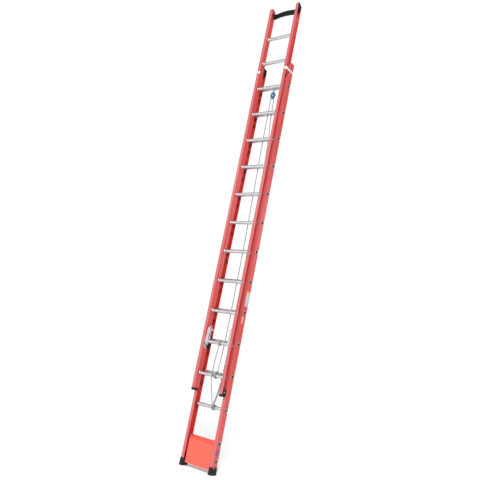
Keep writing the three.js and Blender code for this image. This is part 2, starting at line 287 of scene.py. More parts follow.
def round_outline(half_u, half_v, radius, steps=5):
    """A rectangle with round corners about the origin: a quarter circle in each corner, a flat between."""
    quarter = np.linspace(0, np.pi / 2, steps + 1)
    angle = np.concatenate([quarter + i * np.pi / 2 for i in range(4)])
    sign_u = np.repeat([1, -1, -1, 1], steps + 1)
    sign_v = np.repeat([1, 1, -1, -1], steps + 1)
    return np.stack([
        sign_u * (half_u - radius) + radius * np.cos(angle),
        sign_v * (half_v - radius) + radius * np.sin(angle),
    ], -1)


def closed_curve(points, count):
    """A smooth closed line through points, at even distances, first point not repeated."""
    points = np.asarray(points, float)
    wrapped = np.concatenate([points[-3:], points, points[:4]])
    run = run_of(wrapped)
    start, end = run[3], run[3 + len(points)]
    line = through(wrapped, (end - start) / count / 8)
    at = run_of(line)
    scale = at[-1] / run[-1]
    return picked(line, np.linspace(start * scale, end * scale, count, endpoint=False))


def helix(centre, axis, radius, turns, rise, start=0.0, step=6):
    """A line that goes round an axis at one radius, step degrees at a time, and along it by rise each turn."""
    angle = np.radians(np.arange(0, turns * 360 + step / 2, step))
    local = np.stack([
        radius * np.cos(angle + start), radius * np.sin(angle + start), angle / (2 * np.pi) * rise,
    ], -1)
    return local @ basis(axis) + np.asarray(centre)


# Places for outlines: which two axes they lie in and which one they are carried along
def along_z(u, v, w):
    return u, v, w


def along_x(u, v, w):
    return w, u, v


def along_y(u, v, w):
    return u, w, v


# --------------------------------------------------------------------------------------------------
# Pieces
# --------------------------------------------------------------------------------------------------


def settle(piece, body, finish, replaces=()):
    """Gives a piece its finish and the body that it rides on."""
    piece.data.materials.clear()
    piece.data.materials.append(finish)
    if replaces:
        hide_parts(*replaces)
    if body is not None:
        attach(piece, body)
    return piece


def shade(mesh, sharp):
    """Smooth shading that breaks at edges sharper than an angle in degrees."""
    mesh.shade_smooth()
    mesh.set_sharp_from_angle(angle=math.radians(sharp))


def build_mesh(name, shapes):
    """One mesh of several surfaces, with seams and poles merged and the faces turned outwards."""
    points = np.concatenate([s.points for s in shapes])
    starts = np.cumsum([0] + [len(s.points) for s in shapes[:-1]])
    faces = [[i + int(start) for i in face] for s, start in zip(shapes, starts) for face in s.faces]
    mesh = bpy.data.meshes.new(name)
    mesh.from_pydata(points.tolist(), [], faces)
    corner = np.zeros(len(mesh.loops), np.int32)
    mesh.loops.foreach_get("vertex_index", corner)
    uv = np.concatenate([s.uv for s in shapes])[corner]
    mesh.uv_layers.new(name="UVMap").data.foreach_set("uv", uv.astype(np.float32).ravel())
    rub = mesh.attributes.new("rub", "FLOAT", "POINT")
    rub.data.foreach_set("value", np.concatenate([s.rub for s in shapes]).astype(np.float32))
    tidy = bmesh.new()
    tidy.from_mesh(mesh)
    bmesh.ops.remove_doubles(tidy, verts=tidy.verts, dist=WELD)
    bmesh.ops.recalc_face_normals(tidy, faces=tidy.faces)
    tidy.to_mesh(mesh)
    tidy.free()
    return mesh


def make(name, shapes, body, finish, replaces=(), sharp=38):
    """A piece made of surfaces."""
    mesh = build_mesh(name, shapes)
    shade(mesh, sharp)
    piece = bpy.data.objects.new(name, mesh)
    bpy.context.scene.collection.objects.link(piece)
    return settle(piece, body, finish, replaces)


def final_mesh(piece):
    """Puts the piece's modifiers into its mesh."""
    evaluated = piece.evaluated_get(bpy.context.evaluated_depsgraph_get())
    piece.data = bpy.data.meshes.new_from_object(evaluated)
    piece.modifiers.clear()


def drill(piece, holes, sharp=38):
    """Cuts holes, given as closed surfaces, through a piece."""
    cutter = bpy.data.objects.new("drill", build_mesh("drill", holes))
    bpy.context.scene.collection.objects.link(cutter)
    cut = piece.modifiers.new("Holes", "BOOLEAN")
    cut.operation, cut.solver, cut.object = "DIFFERENCE", "MANIFOLD", cutter
    bpy.context.view_layer.update()
    final_mesh(piece)
    shade(piece.data, sharp)
    bpy.data.objects.remove(cutter)


def rod(centre, axis, radius, low, high, sides=48):
    """A plain round bar along an axis, from low to high of the centre."""
    return turned([(0, low), (radius, low), (radius, high), (0, high)], sides, centre, axis)


def rivet(centre, axis, radius=4 * MM, height=1.8 * MM, sunk=1 * MM):
    """A domed head: a quarter ellipse over a short rim, with a small flat flange under it."""
    angle = np.radians(np.linspace(90, 0, 7))
    dome = np.stack([radius * 0.8 * np.cos(angle), height * (0.3 + 0.7 * np.sin(angle))], -1)
    rim = np.array([[radius, height * 0.28], [radius, 0], [radius * 0.7, -sunk], [0, -sunk]])
    profile = np.concatenate([dome, rim])
    return turned(profile, 24, centre, axis, rub=np.where(profile[:, 1] > height * 0.6, 0.8, 0.2))


def washer(centre, axis, inner, outer, height):
    """A flat ring with rounded edges: a closed profile turned about the axis."""
    e = min(height, outer - inner) * 0.2
    profile = [(inner, 0), (outer - e, 0), (outer, e), (outer, height - e), (outer - e, height),
               (inner + e, height), (inner, height - e)]
    return turned(profile, 36, centre, axis, closed=True, rub=[0, 0.3, 0.6, 0.8, 0.8, 0.8, 0.5])


def hex_head(centre, axis, across, height):
    """A six-sided bolt head: a prism whose top corners are cut by a cone, with a shallow dish."""
    corner = across / math.sqrt(3)
    prism = turned([(0, 0), (corner, 0), (corner, height * 0.82), (corner * 0.86, height), (corner * 0.3, height),
                    (0, height * 0.9)], 6, centre, axis, rub=[0, 0.2, 0.8, 0.9, 0.4, 0])
    return [prism, washer(centre, axis, corner * 0.5, corner * 1.18, 1.2 * MM)]


# --------------------------------------------------------------------------------------------------
# Node trees written as expressions
# --------------------------------------------------------------------------------------------------


class Value:
    """An output of a node. Arithmetic on it, with numbers or other outputs on either side, adds Math nodes."""

    def __init__(self, finish, socket):
        self.finish, self.socket = finish, socket

    def math(self, operation, *terms):
        return self.finish.node("ShaderNodeMath", {"operation": operation}, dict(enumerate(terms)))

    def __add__(self, other):
        return self.math("ADD", self, other)

    def __radd__(self, other):
        return self.math("ADD", other, self)

    def __sub__(self, other):
        return self.math("SUBTRACT", self, other)

    def __rsub__(self, other):
        return self.math("SUBTRACT", other, self)

    def __mul__(self, other):
        return self.math("MULTIPLY", self, other)

    def __rmul__(self, other):
        return self.math("MULTIPLY", other, self)

    def __truediv__(self, other):
        return self.math("DIVIDE", self, other)

    def __abs__(self):
        return self.math("ABSOLUTE", self)

    def sine(self):
        return self.math("SINE", self)

    def root(self):
        return self.math("SQRT", self)

    def fraction(self):
        return self.math("FRACT", self)

    def most(self, other):
        return self.math("MAXIMUM", self, other)

    def rising(self, low, high):
        """0 below low and 1 above high, with an even S between them."""
        return self.finish.node("ShaderNodeMapRange", {"interpolation_type": "SMOOTHSTEP"},
                                {"Value": self, "From Min": low, "From Max": high})

    def falling(self, low, high):
        """1 below low and 0 above high."""
        return 1 - self.rising(low, high)


class Finish:
    """A material made of nodes round one Principled shader."""

    def __init__(self, name, **constants):
        self.material = bpy.data.materials.new(name)
        self.material.use_nodes = True
        self.tree = self.material.node_tree
        self.tree.nodes.clear()
        self.shader = self.tree.nodes.new("ShaderNodeBsdfPrincipled")
        output = self.tree.nodes.new("ShaderNodeOutputMaterial")
        self.tree.links.new(self.shader.outputs["BSDF"], output.inputs["Surface"])
        self.set(**constants)

    def plug(self, socket, value):
        if isinstance(value, Value):
            self.tree.links.new(value.socket, socket)
        elif isinstance(value, (tuple, list)) and len(value) == 3 and len(socket.default_value) == 4:
            socket.default_value = (*value, 1.0)
        else:
            socket.default_value = value

    def set(self, **sockets):
        """Numbers, colours or outputs for the shader's sockets, spaces written as underscores."""
        for name, value in sockets.items():
            self.plug(self.shader.inputs[name.replace("_", " ")], value)

    def node(self, kind, settings, inputs, output=0):
        """Adds a node: its settings first, then the values or links of its sockets by name or place."""
        node = self.tree.nodes.new(kind)
        for name, value in settings.items():
            if name == "stops":
                ramp = node.color_ramp
                while len(ramp.elements) < len(value):
                    ramp.elements.new(0.5)
                for element, (position, colour) in zip(ramp.elements, value):
                    element.position, element.color = position, (*colour, 1.0)
            else:
                setattr(node, name, value)
        for key, value in inputs.items():
            self.plug(node.inputs[key], value)
        return Value(self, node.outputs[output])

    def point(self):
        """Where the surface lies, in the piece's own axes."""
        return self.node("ShaderNodeTexCoord", {}, {}, "Object")

    def around(self):
        """The piece's own (u, v)."""
        return self.node("ShaderNodeTexCoord", {}, {}, "UV")

    def rubbed(self):
        """The piece's rub attribute."""
        return self.node("ShaderNodeAttribute", {"attribute_name": "rub"}, {}, "Fac")

    def parts(self, vector):
        """The three numbers of a vector."""
        split = self.node("ShaderNodeSeparateXYZ", {}, {0: vector})
        return [Value(self, out) for out in split.socket.node.outputs]

    def scaled(self, vector, by):
        return self.node("ShaderNodeVectorMath", {"operation": "MULTIPLY"}, {0: vector, 1: by})

    def noise(self, vector, scale=1.0, detail=3.0, roughness=0.55):
        return self.node("ShaderNodeTexNoise", {}, {
            "Vector": vector, "Scale": scale, "Detail": detail, "Roughness": roughness})

    def cells(self, vector, scale, output="Distance"):
        return self.node("ShaderNodeTexVoronoi", {}, {"Vector": vector, "Scale": scale}, output)

    def ramp(self, value, stops):
        return self.node("ShaderNodeValToRGB", {"stops": stops}, {0: value})

    def mix(self, share, first, second):
        """The first colour where the share is 0, the second where it is 1."""
        return self.node("ShaderNodeMix", {"data_type": "RGBA"}, {0: share, 6: first, 7: second}, 2)

    def bump(self, height, distance, strength=1.0, below=None):
        inputs = {"Height": height, "Distance": distance, "Strength": strength}
        if below is not None:
            inputs["Normal"] = below
        return self.node("ShaderNodeBump", {}, inputs)


def shade_of(colour, factor):
    """A colour made darker or lighter by one factor."""
    return tuple(min(1.0, part * factor) for part in tuple(colour)[:3])


# --------------------------------------------------------------------------------------------------
# Settings
# --------------------------------------------------------------------------------------------------


def colour_property(name, description, default):
    return bpy.props.FloatVectorProperty(
        name=name, description=description, subtype="COLOR", size=3, min=0, max=1, default=default)


def length_property(name, description, default):
    return bpy.props.FloatProperty(name=name, description=description, unit="LENGTH", min=0, default=default)


def angle_property(name, description, default):
    return bpy.props.FloatProperty(name=name, description=description, subtype="ANGLE", default=math.radians(default))


def share_property(name, description, default):
    return bpy.props.FloatProperty(
        name=name, description=description, subtype="FACTOR", min=0, max=1, default=default)


class StageSettings(bpy.types.PropertyGroup):
    camera_place: bpy.props.FloatVectorProperty(
        name="Camera place", description="Where the camera stands", subtype="TRANSLATION", unit="LENGTH",
        default=(3.209, -4.238, 0.979))
    azimuth: angle_property("Azimuth", "Turn of the view from straight along +Y, to the left", 37.25)
    elevation: angle_property("Elevation", "How far the camera looks up", 12.67)
    roll: angle_property("Roll", "Turn of the camera about its own view", 11.37)
    lens: bpy.props.FloatProperty(
        name="Lens", description="Focal length in millimetres on a 36 mm sensor", default=41.2)
    floor: colour_property("Floor", "Colour of the floor", (0.97, 0.97, 0.97))
    glow: bpy.props.FloatProperty(
        name="Glow", description="Strength of the light from the white surroundings", default=0.58)
    key: bpy.props.FloatProperty(name="Key", description="Strength of the main light", default=2.7)


class RailSettings(bpy.types.PropertyGroup):
    colour: colour_property("Colour", "Body colour of the glass fibre", (0.60, 0.031, 0.025))
    faded: colour_property("Faded", "Colour where the surface has chalked", (0.66, 0.078, 0.056))
    corner: length_property("Corner", "Outer rounding of the channel's corners", 5 * MM)
    wall: length_property("Wall", "Thickness of the web and the flanges", 4 * MM)
    base_slope: length_property("Rear section's end slope", "How much lower the rear of its top ends is", 3 * MM)
    fly_slope: length_property("Front section's end slope", "How much lower the rear of its top ends is", 22 * MM)
    front_round: length_property("Front rounding", "Rounding of a top end's front corner", 24 * MM)
    rear_round: length_property("Rear rounding", "Rounding of a top end's rear corner", 9 * MM)
    top_drop: length_property("Top drop", "How far a top end stays under the rail's full height", 4 * MM)
    # Paler front flanges: part weather chalking, part painted sheen standing in for their glossy reflection.
    chalk_and_sheen: colour_property("Chalk and sheen", "Colour of the front flanges, which face the weather", (0.53, 0.135, 0.14))
    wear: share_property("Wear", "Amount of rubbing on the edges", 0.45)


class RungSettings(bpy.types.PropertyGroup):
    colour: colour_property("Colour", "Colour of the bright extrusion", (0.58, 0.59, 0.62))
    flutes: bpy.props.IntProperty(name="Flutes", description="Grooves round the tread", min=6, default=20)
    depth: length_property("Flute depth", "Depth of the grooves of the tread", 0.7 * MM)
    collar: length_property("Collar", "How far the swaged collar stands out of the tube", 2.6 * MM)


class RopeSettings(bpy.types.PropertyGroup):
    colour: colour_property("Colour", "Colour of the cord", (0.40, 0.47, 0.44))
    fleck: colour_property("Fleck", "Colour of the marker yarns", (0.035, 0.05, 0.05))
    diameter: length_property("Diameter", "Diameter of the cord", 9 * MM)
    plait: length_property("Plait", "Length of one crossing of the plaited cover", 8 * MM)


class RubberSettings(bpy.types.PropertyGroup):
    colour: colour_property("Colour", "Colour of the black rubber and plastic", (0.005, 0.0054, 0.006))
    dust: colour_property("Dust", "Colour of the dust in the grooves", (0.16, 0.15, 0.14))


class PanelSettings(bpy.types.PropertyGroup):
    colour: colour_property("Colour", "Colour of the kick panel", (0.98, 0.108, 0.064))
    scuff: colour_property("Scuff", "Colour of the boot marks", (0.60, 0.075, 0.05))
    sheet: length_property("Sheet", "Thickness of the panel", 2 * MM)


class MetalSettings(bpy.types.PropertyGroup):
    cast: colour_property("Casting", "Colour of the cast locks", (0.70, 0.70, 0.73))
    zinc: colour_property("Zinc", "Colour of the plated fasteners", (0.66, 0.68, 0.70))
    pulley: colour_property("Pulley", "Enamel of the pulley block", (0.035, 0.10, 0.21))


class LabelSettings(bpy.types.PropertyGroup):
    paper: colour_property("Paper", "Ground colour of the plain labels", (0.48, 0.47, 0.58))
    band: colour_property("Band", "Colour of the band on the tall label", (0.95, 0.30, 0.12))
    pink: colour_property("Pink", "Colour of the small middle label", (0.74, 0.36, 0.36))
    blue: colour_property("Blue", "Colour of the small low label", (0.045, 0.022, 0.22))


class LadderSettings(bpy.types.PropertyGroup):
    stage: bpy.props.PointerProperty(type=StageSettings)
    rails: bpy.props.PointerProperty(type=RailSettings)
    rungs: bpy.props.PointerProperty(type=RungSettings)
    rope: bpy.props.PointerProperty(type=RopeSettings)
    rubber: bpy.props.PointerProperty(type=RubberSettings)
    panel: bpy.props.PointerProperty(type=PanelSettings)
    metal: bpy.props.PointerProperty(type=MetalSettings)
    labels: bpy.props.PointerProperty(type=LabelSettings)


def settings():
    return bpy.context.scene.ladder


# --------------------------------------------------------------------------------------------------
# Finishes
# --------------------------------------------------------------------------------------------------

FINISHES = {}


def finish_of(name, maker, *given):
    """The material of that name, made the first time that it is asked for."""
    if name not in FINISHES:
        FINISHES[name] = maker(name, *given)
    return FINISHES[name]


def fibreglass(name, section):
    """Pultruded glass fibre: lengthwise streaks, a faint glass veil, chalky edges, front flanges paler as part weather
    chalking and part painted sheen, and darker rings round the rung ends, worked out from the height over the last
    rung."""
    rails = settings().rails
    finish = Finish(name, Coat_Roughness=0.22, Coat_IOR=1.5)
    point = finish.point()
    _, y, z = finish.parts(point)
    first, plane = middle(f"{section}_rung_01")[2], middle(f"{section}_rung_01")[1]
    pitch = middle(f"{section}_rung_02")[2] - first
    rise = (((z - first) / pitch + 0.5).fraction() - 0.5) * pitch
    from_rung = (rise * rise + (y - plane) * (y - plane)).root()
    streak = finish.noise(finish.scaled(point, (420, 420, 5)), 1, 4, 0.6)
    veil = finish.noise(finish.scaled(point, (900, 900, 160)), 1, 3, 0.65)
    patch = finish.noise(finish.scaled(point, (9, 9, 2.2)), 1, 3)
    worn = finish.rubbed() * finish.noise(finish.scaled(point, (60, 60, 14)), 1, 5, 0.7).rising(0.42, 0.62)
    colour = finish.mix(streak.rising(0.35, 0.7) * 0.5, tuple(rails.colour), shade_of(rails.colour, 0.74))
    colour = finish.mix(patch.rising(0.45, 0.75) * 0.28, colour, tuple(rails.faded))
    colour = finish.mix(worn * rails.wear, colour, shade_of(rails.faded, 1.15))
    front = span(f"{section}_rail_right")[0][1]
    # Part weather chalking, part painted sheen: the front faces of the flanges are mixed towards a paler pink.
    chalk_and_sheen = y.falling(front + 0.5 * MM, front + 3 * MM) * (0.55 + 0.5 * patch)
    colour = finish.mix(chalk_and_sheen, colour, tuple(rails.chalk_and_sheen))
    # A darker ring round each rung end on the web, mixed towards near black.
    rung_ring = from_rung.falling(0.019, 0.034) * finish.noise(finish.scaled(point, (150, 150, 60)), 1, 4)
    colour = finish.mix(rung_ring.rising(0.2, 0.75) * 0.75, colour, (0.10, 0.03, 0.03))
    finish.set(Base_Color=colour, Roughness=0.34 + 0.14 * streak + 0.2 * worn,
               Coat_Weight=0.35 - 0.3 * worn,
               Normal=finish.bump(streak * 0.7 + veil * 0.3, 0.25 * MM, 0.35))
    return finish.material


def bright_rung(name):
    """Fluted aluminium tube: fine lines along X, dull treads where boots land, and a few fine scratches. The bore,
    marked by the piece's attribute, is painted almost black as the shade inside the hollow tube, and is dull."""
    finish = Finish(name, Metallic=1.0)
    point = finish.point()
    x, y, z = finish.parts(point)
    lines = finish.noise(finish.scaled(point, (7, 900, 900)), 1, 3, 0.6)
    tread = finish.noise(finish.scaled(point, (30, 120, 120)), 1, 4, 0.65).rising(0.4, 0.68)
    dull = abs(x).falling(0.07, 0.15) * tread
    scratch = finish.noise(finish.scaled(point, (260, 45, 45)), 1, 2).rising(0.60, 0.66)
    ground = tuple(settings().rungs.colour)
    colour = finish.mix(dull * 0.6, ground, shade_of(ground, 0.70))
    colour = finish.mix(scratch * 0.25, colour, (0.93, 0.93, 0.94))
    # Painted shade: the inside of the hollow tube is painted almost black and made dull.
    bore = finish.rubbed()
    colour = finish.mix(bore, colour, (0.045, 0.045, 0.05))
    finish.set(Base_Color=colour, Roughness=0.24 + 0.16 * lines + 0.16 * dull + 0.4 * bore,
               Normal=finish.bump(lines + scratch * 0.4, 0.06 * MM, 0.5))
    return finish.material


def flat_bar(name):
    """Satin aluminium bar: brushed lines along its length, brighter and smoother where it is rubbed."""
    finish = Finish(name, Metallic=0.55)
    point = finish.point()
    lines = finish.noise(finish.scaled(point, (90, 90, 1500)), 1, 3, 0.6)
    stain = finish.noise(finish.scaled(point, (40, 40, 40)), 1, 4).rising(0.48, 0.72)
    worn = finish.rubbed()
    colour = finish.mix(stain * 0.3, (0.86, 0.84, 0.84), (0.62, 0.59, 0.58))
    colour = finish.mix(worn * 0.5, colour, (0.9, 0.9, 0.9))
    finish.set(Base_Color=colour, Roughness=0.3 + 0.18 * lines - 0.08 * worn,
               Normal=finish.bump(lines, 0.06 * MM, 0.5))
    return finish.material


def casting(name):
    """Sand-cast aluminium: a fine pebbled skin, darker in the low spots, polished in patches."""
    metal = settings().metal
    finish = Finish(name, Metallic=0.92)
    point = finish.point()
    grain = finish.noise(point, 1400, 4, 0.6)
    pits = finish.cells(point, 620)
    patch = finish.noise(point, 60, 3).rising(0.45, 0.7)
    colour = finish.mix(grain.falling(0.4, 0.6) * 0.55, tuple(metal.cast), shade_of(metal.cast, 0.5))
    colour = finish.mix(patch * 0.35, colour, shade_of(metal.cast, 1.35))
    finish.set(Base_Color=colour, Roughness=0.5 - 0.14 * patch + 0.1 * grain,
               Normal=finish.bump(grain * 0.7 + pits * 0.5, 0.25 * MM, 0.6))
    return finish.material


def zinc(name):
    """Zinc plate: a cool grey with a faint warm passivation drift and tiny spangles."""
    base = settings().metal.zinc
    finish = Finish(name, Metallic=1.0)
    point = finish.point()
    drift = finish.noise(point, 90, 3).rising(0.4, 0.7)
    spangle = finish.cells(point, 900, "Color")
    grey = finish.parts(spangle)[0]
    colour = finish.mix(drift * 0.35, tuple(base), (0.66, 0.58, 0.42))
    colour = finish.mix(grey * 0.15, colour, shade_of(base, 0.65))
    worn = finish.rubbed()
    finish.set(Base_Color=colour, Roughness=0.26 + 0.14 * grey - 0.06 * worn,
               Normal=finish.bump(finish.noise(point, 1500, 2), 0.05 * MM, 0.5))
    return finish.material


def pulley_enamel(name):
    """Blue-grey enamel over steel: slight orange peel, with bare metal where the edges have chipped."""
    paint = settings().metal.pulley
    finish = Finish(name, Coat_Roughness=0.15, Coat_IOR=1.5)
    point = finish.point()
    chip = finish.rubbed() * finish.noise(point, 260, 5, 0.7)
    bare = chip.rising(0.42, 0.48)
    shade_noise = finish.noise(point, 70, 3)
    colour = finish.mix(shade_noise * 0.5, tuple(paint), shade_of(paint, 1.8))
    colour = finish.mix(bare, colour, (0.52, 0.53, 0.55))
    finish.set(Base_Color=colour, Metallic=bare * 0.9, Roughness=0.28 + 0.25 * bare, Coat_Weight=0.5 - 0.5 * bare,
               Normal=finish.bump(finish.noise(point, 700, 2) - bare * 0.5, 0.12 * MM, 0.5))
    return finish.material


def moulded_black(name, dusty=0.0):
    """Moulded black plastic or rubber: a fine grain, greyer rubbed corners and dust that gathers low down."""
    rubber = settings().rubber
    finish = Finish(name, Specular_IOR_Level=0.12)
    point = finish.point()
    grain = finish.noise(point, 1500, 3, 0.6)
    cloud = finish.noise(point, 55, 4, 0.6)
    worn = finish.rubbed() * cloud
    _, _, z = finish.parts(point)
    speck = finish.noise(point, 420, 5, 0.7)
    low = z.falling(1 * MM, 34 * MM) * speck.rising(0.42, 0.66)
    colour = finish.mix(cloud * 0.6, tuple(rubber.colour), shade_of(rubber.colour, 1.9))
    colour = finish.mix(worn * 0.4, colour, (0.09, 0.09, 0.095))
    colour = finish.mix(low * dusty, colour, tuple(rubber.dust))
    finish.set(Base_Color=colour, Roughness=0.5 + 0.22 * cloud + 0.1 * worn,
               Normal=finish.bump(grain, 0.12 * MM, 0.5))
    return finish.material


def ribbed_black(name):
    """Ribbed rubber belt: fine cross hatching on the crests and pale dust in the grooves, from the thickness share."""
    rubber = settings().rubber
    finish = Finish(name, Specular_IOR_Level=0.2)
    point = finish.point()
    cloud = finish.noise(point, 40, 4, 0.6)
    hatch = finish.noise(finish.scaled(point, (900, 900, 260)), 1, 2)
    groove = 1 - finish.rubbed()
    colour = finish.mix(cloud * 0.5, tuple(rubber.colour), shade_of(rubber.colour, 2.2))
    colour = finish.mix(groove * cloud.rising(0.4, 0.7) * 0.3, colour, tuple(rubber.dust))
    finish.set(Base_Color=colour, Roughness=0.62 + 0.2 * cloud, Normal=finish.bump(hatch, 0.2 * MM, 0.6))
    return finish.material


def panel_orange(name, painted_shade_factor=1.0):
    """Satin orange sheet: soft mottling, orange peel, and darker boot marks that thicken towards the floor.
    A factor under 1 darkens and deepens the orange as painted shade.
    """
    panel = settings().panel
    # Painted shade: a factor under 1 darkens the red and deepens the colour of the ground.
    ground = (panel.colour[0] * (0.5 + 0.5 * painted_shade_factor), panel.colour[1] * painted_shade_factor**2, panel.colour[2] * painted_shade_factor**2)
    finish = Finish(name, Coat_Roughness=0.3, Coat_IOR=1.45, Coat_Weight=0.15)
    point = finish.point()
    _, _, z = finish.parts(point)
    mottle = finish.noise(point, 14, 4, 0.6)
    mark = finish.noise(finish.scaled(point, (70, 70, 24)), 1, 5, 0.75)
    low = z.falling(0.03, 0.24)
    scuffed = (mark + low * 0.10).rising(0.62, 0.74) * 0.35
    colour = finish.mix(mottle * 0.35, ground, shade_of(ground, 0.82))
    colour = finish.mix(scuffed, colour, tuple(panel.scuff))
    colour = finish.mix(finish.rubbed() * mottle.rising(0.4, 0.6) * 0.5, colour, (1.0, 0.42, 0.3))
    finish.set(Base_Color=colour, Roughness=0.38 + 0.16 * mark,
               Normal=finish.bump(finish.noise(point, 420, 3) + mark * 0.3, 0.15 * MM, 0.4))
    return finish.material


def plaited(name):
    """Plaited cord: two sets of yarns wind opposite ways, so their phases are the turn round the cord plus and
    minus the length along it. The valleys between the crossings are painted dark as shade, leaving the crown of each
    crossing light, and every fourth yarn of one set is dark."""
    rope = settings().rope
    finish = Finish(name)
    around, along, _ = finish.parts(finish.around())
    one = around * 8 + along / rope.plait
    other = around * 8 - along / rope.plait
    crown = abs((one * math.pi).sine()) * abs((other * math.pi).sine())
    over = ((one + other) * (math.pi / 2)).sine().rising(-0.2, 0.2)
    marker = (one / 4).fraction().falling(0.22, 0.28) * over
    fibre = finish.noise(finish.node("ShaderNodeCombineXYZ", {}, {0: one * 9, 1: other * 2.2}), 1, 3, 0.6)
    tone = finish.noise(finish.point(), 26, 3)
    colour = finish.mix(tone * 0.6, tuple(rope.colour), shade_of(rope.colour, 0.62))
    colour = finish.mix(marker * 0.85, colour, tuple(rope.fleck))
    # Painted shade: the valleys between the yarn crossings are darkened towards a sixth of the cord's colour.
    colour = finish.mix(crown.falling(0.05, 0.5) * 0.65, colour, shade_of(rope.colour, 0.16))
    colour = finish.mix(fibre.rising(0.55, 0.75) * 0.25, colour, shade_of(rope.colour, 1.7))
    finish.set(Base_Color=colour, Roughness=0.7 + 0.15 * fibre,
               Normal=finish.bump(crown + fibre * 0.35, 0.5 * MM, 0.7))
    return finish.material


def label_vinyl(name, ground, band):
    """Printed film: a plain ground with a band across the top and soft bars under it, from the piece's own
    height. Nothing on it reads as lettering."""
    finish = Finish(name, Coat_Roughness=0.12, Coat_Weight=0.4)
    _, up, _ = finish.parts(finish.around())
    top = up.rising(0.78, 0.79)
    bars = (up * 5.5).fraction().rising(0.40, 0.44) * (up * 5.5).fraction().falling(0.62, 0.66) * up.falling(0.68, 0.7)
    stain = finish.noise(finish.point(), 70, 4)
    colour = finish.mix(bars * 0.45, ground, shade_of(ground, 0.62))
    colour = finish.mix(top, colour, band)
    colour = finish.mix(stain.rising(0.5, 0.75) * 0.35, colour, (0.55, 0.40, 0.34))
    finish.set(Base_Color=colour, Roughness=0.3 + 0.25 * stain, Normal=finish.bump(stain, 0.05 * MM, 0.4))
    return finish.material


def pale_floor(name):
    finish = Finish(name, Specular_IOR_Level=0.1)
    soft = finish.noise(finish.point(), 1.5, 2)
    floor = tuple(settings().stage.floor)
    finish.set(Base_Color=finish.mix(soft * 0.2, floor, shade_of(floor, 0.985)), Roughness=0.8 + 0.05 * soft)
    return finish.material


def zinc_finish():
    return finish_of("zinc_steel", zinc)


def cast_finish():
    return finish_of("cast_aluminium", casting)


def black_finish():
    return finish_of("moulded_black", moulded_black)


def rope_finish():
    return finish_of("plaited_cord", plaited)


# --------------------------------------------------------------------------------------------------
# Rails and rungs
# --------------------------------------------------------------------------------------------------


def sloped_end(section, node):
    """Height of a rail's top end as a function of y: a straight slope from the front to the rear whose two ends
    turn down into the flanges. With t from 0 on the slope to 1 on the flange, the turn is round * t^2, and y lies
    round * (1 - t)^2 from the flange's face."""
    look = settings().rails
    low, high = span(node)
    front, rear, top = low[1], high[1], high[2] - look.top_drop
    slope = look.base_slope if section == "base" else look.fly_slope

    def height(flat):
        y = flat[:, 1]
        fall = (y - front - look.front_round) / (rear - look.rear_round - front - look.front_round)
        at_front = 1 - np.sqrt(np.clip((y - front) / look.front_round, 0, 1))
        at_rear = 1 - np.sqrt(np.clip((rear - y) / look.rear_round, 0, 1))
        return (top - slope * np.clip(fall, 0, 1) - look.front_round * at_front**2
                - look.rear_round * at_rear**2)
    return height


def channel_line(section, side, sign):
    """The middle of a channel's wall seen from above, from one flange's tip to the other's, and the height of
    its top end."""
    look = settings().rails
    low, high = span(f"{section}_rail_{side}")
    inner, outer = sorted((abs(low[0]), abs(high[0])))
    web, tip = (outer - look.wall / 2, inner) if section == "base" else (inner + look.wall / 2, outer)
    front, rear = low[1] + look.wall / 2, high[1] - look.wall / 2
    corners = np.array([(sign * tip, front), (sign * web, front), (sign * web, rear), (sign * tip, rear)])
    return corners, sloped_end(section, f"{section}_rail_{side}")


def rail(section, side, sign, plane):
    """A C-channel: a bent sheet from the tip of one flange, over the web, to the tip of the other, carried up
    from its foot to its sloped end and drilled for its rungs."""
    look = settings().rails
    node = f"{section}_rail_{side}"
    low, high = span(node)
    corners, end = channel_line(section, side, sign)
    edge = 1.2 * MM
    stations = [(low[2], 0.6), (low[2] + edge, 1), (high[2] - 0.2, 1),
                (lambda flat: end(flat) - 2.5 * MM, 1), (lambda flat: end(flat) - 3 * MM, 0.6)]
    shape = strip(bent(corners, look.corner), look.wall, stations, along_z, 3 * MM, corners)
    finish = finish_of(f"fibreglass_{section}", fibreglass, section)
    piece = make(f"{node}_look", [shape], section, finish, [node])
    names = [f"{section}_rung_{i:02d}" for i in RUNGS] + (["lower_brace"] if section == "base" else [])
    bore, web = 17.15 * MM, corners[1][0]
    drill(piece, [rod((0, plane, middle(name)[2]), (1, 0, 0), bore, web - 0.02, web + 0.02) for name in names])


class LADDER_OT_rails(bpy.types.Operator):
    """Makes the four glass-fibre rails"""
    bl_idname = "ladder.rails"
    bl_label = "Rails"

    def execute(self, context):
        for section in ("base", "fly"):
            plane = middle(f"{section}_rung_01")[1]
            for side, sign in SIDES:
                rail(section, side, sign, plane)
        return {"FINISHED"}


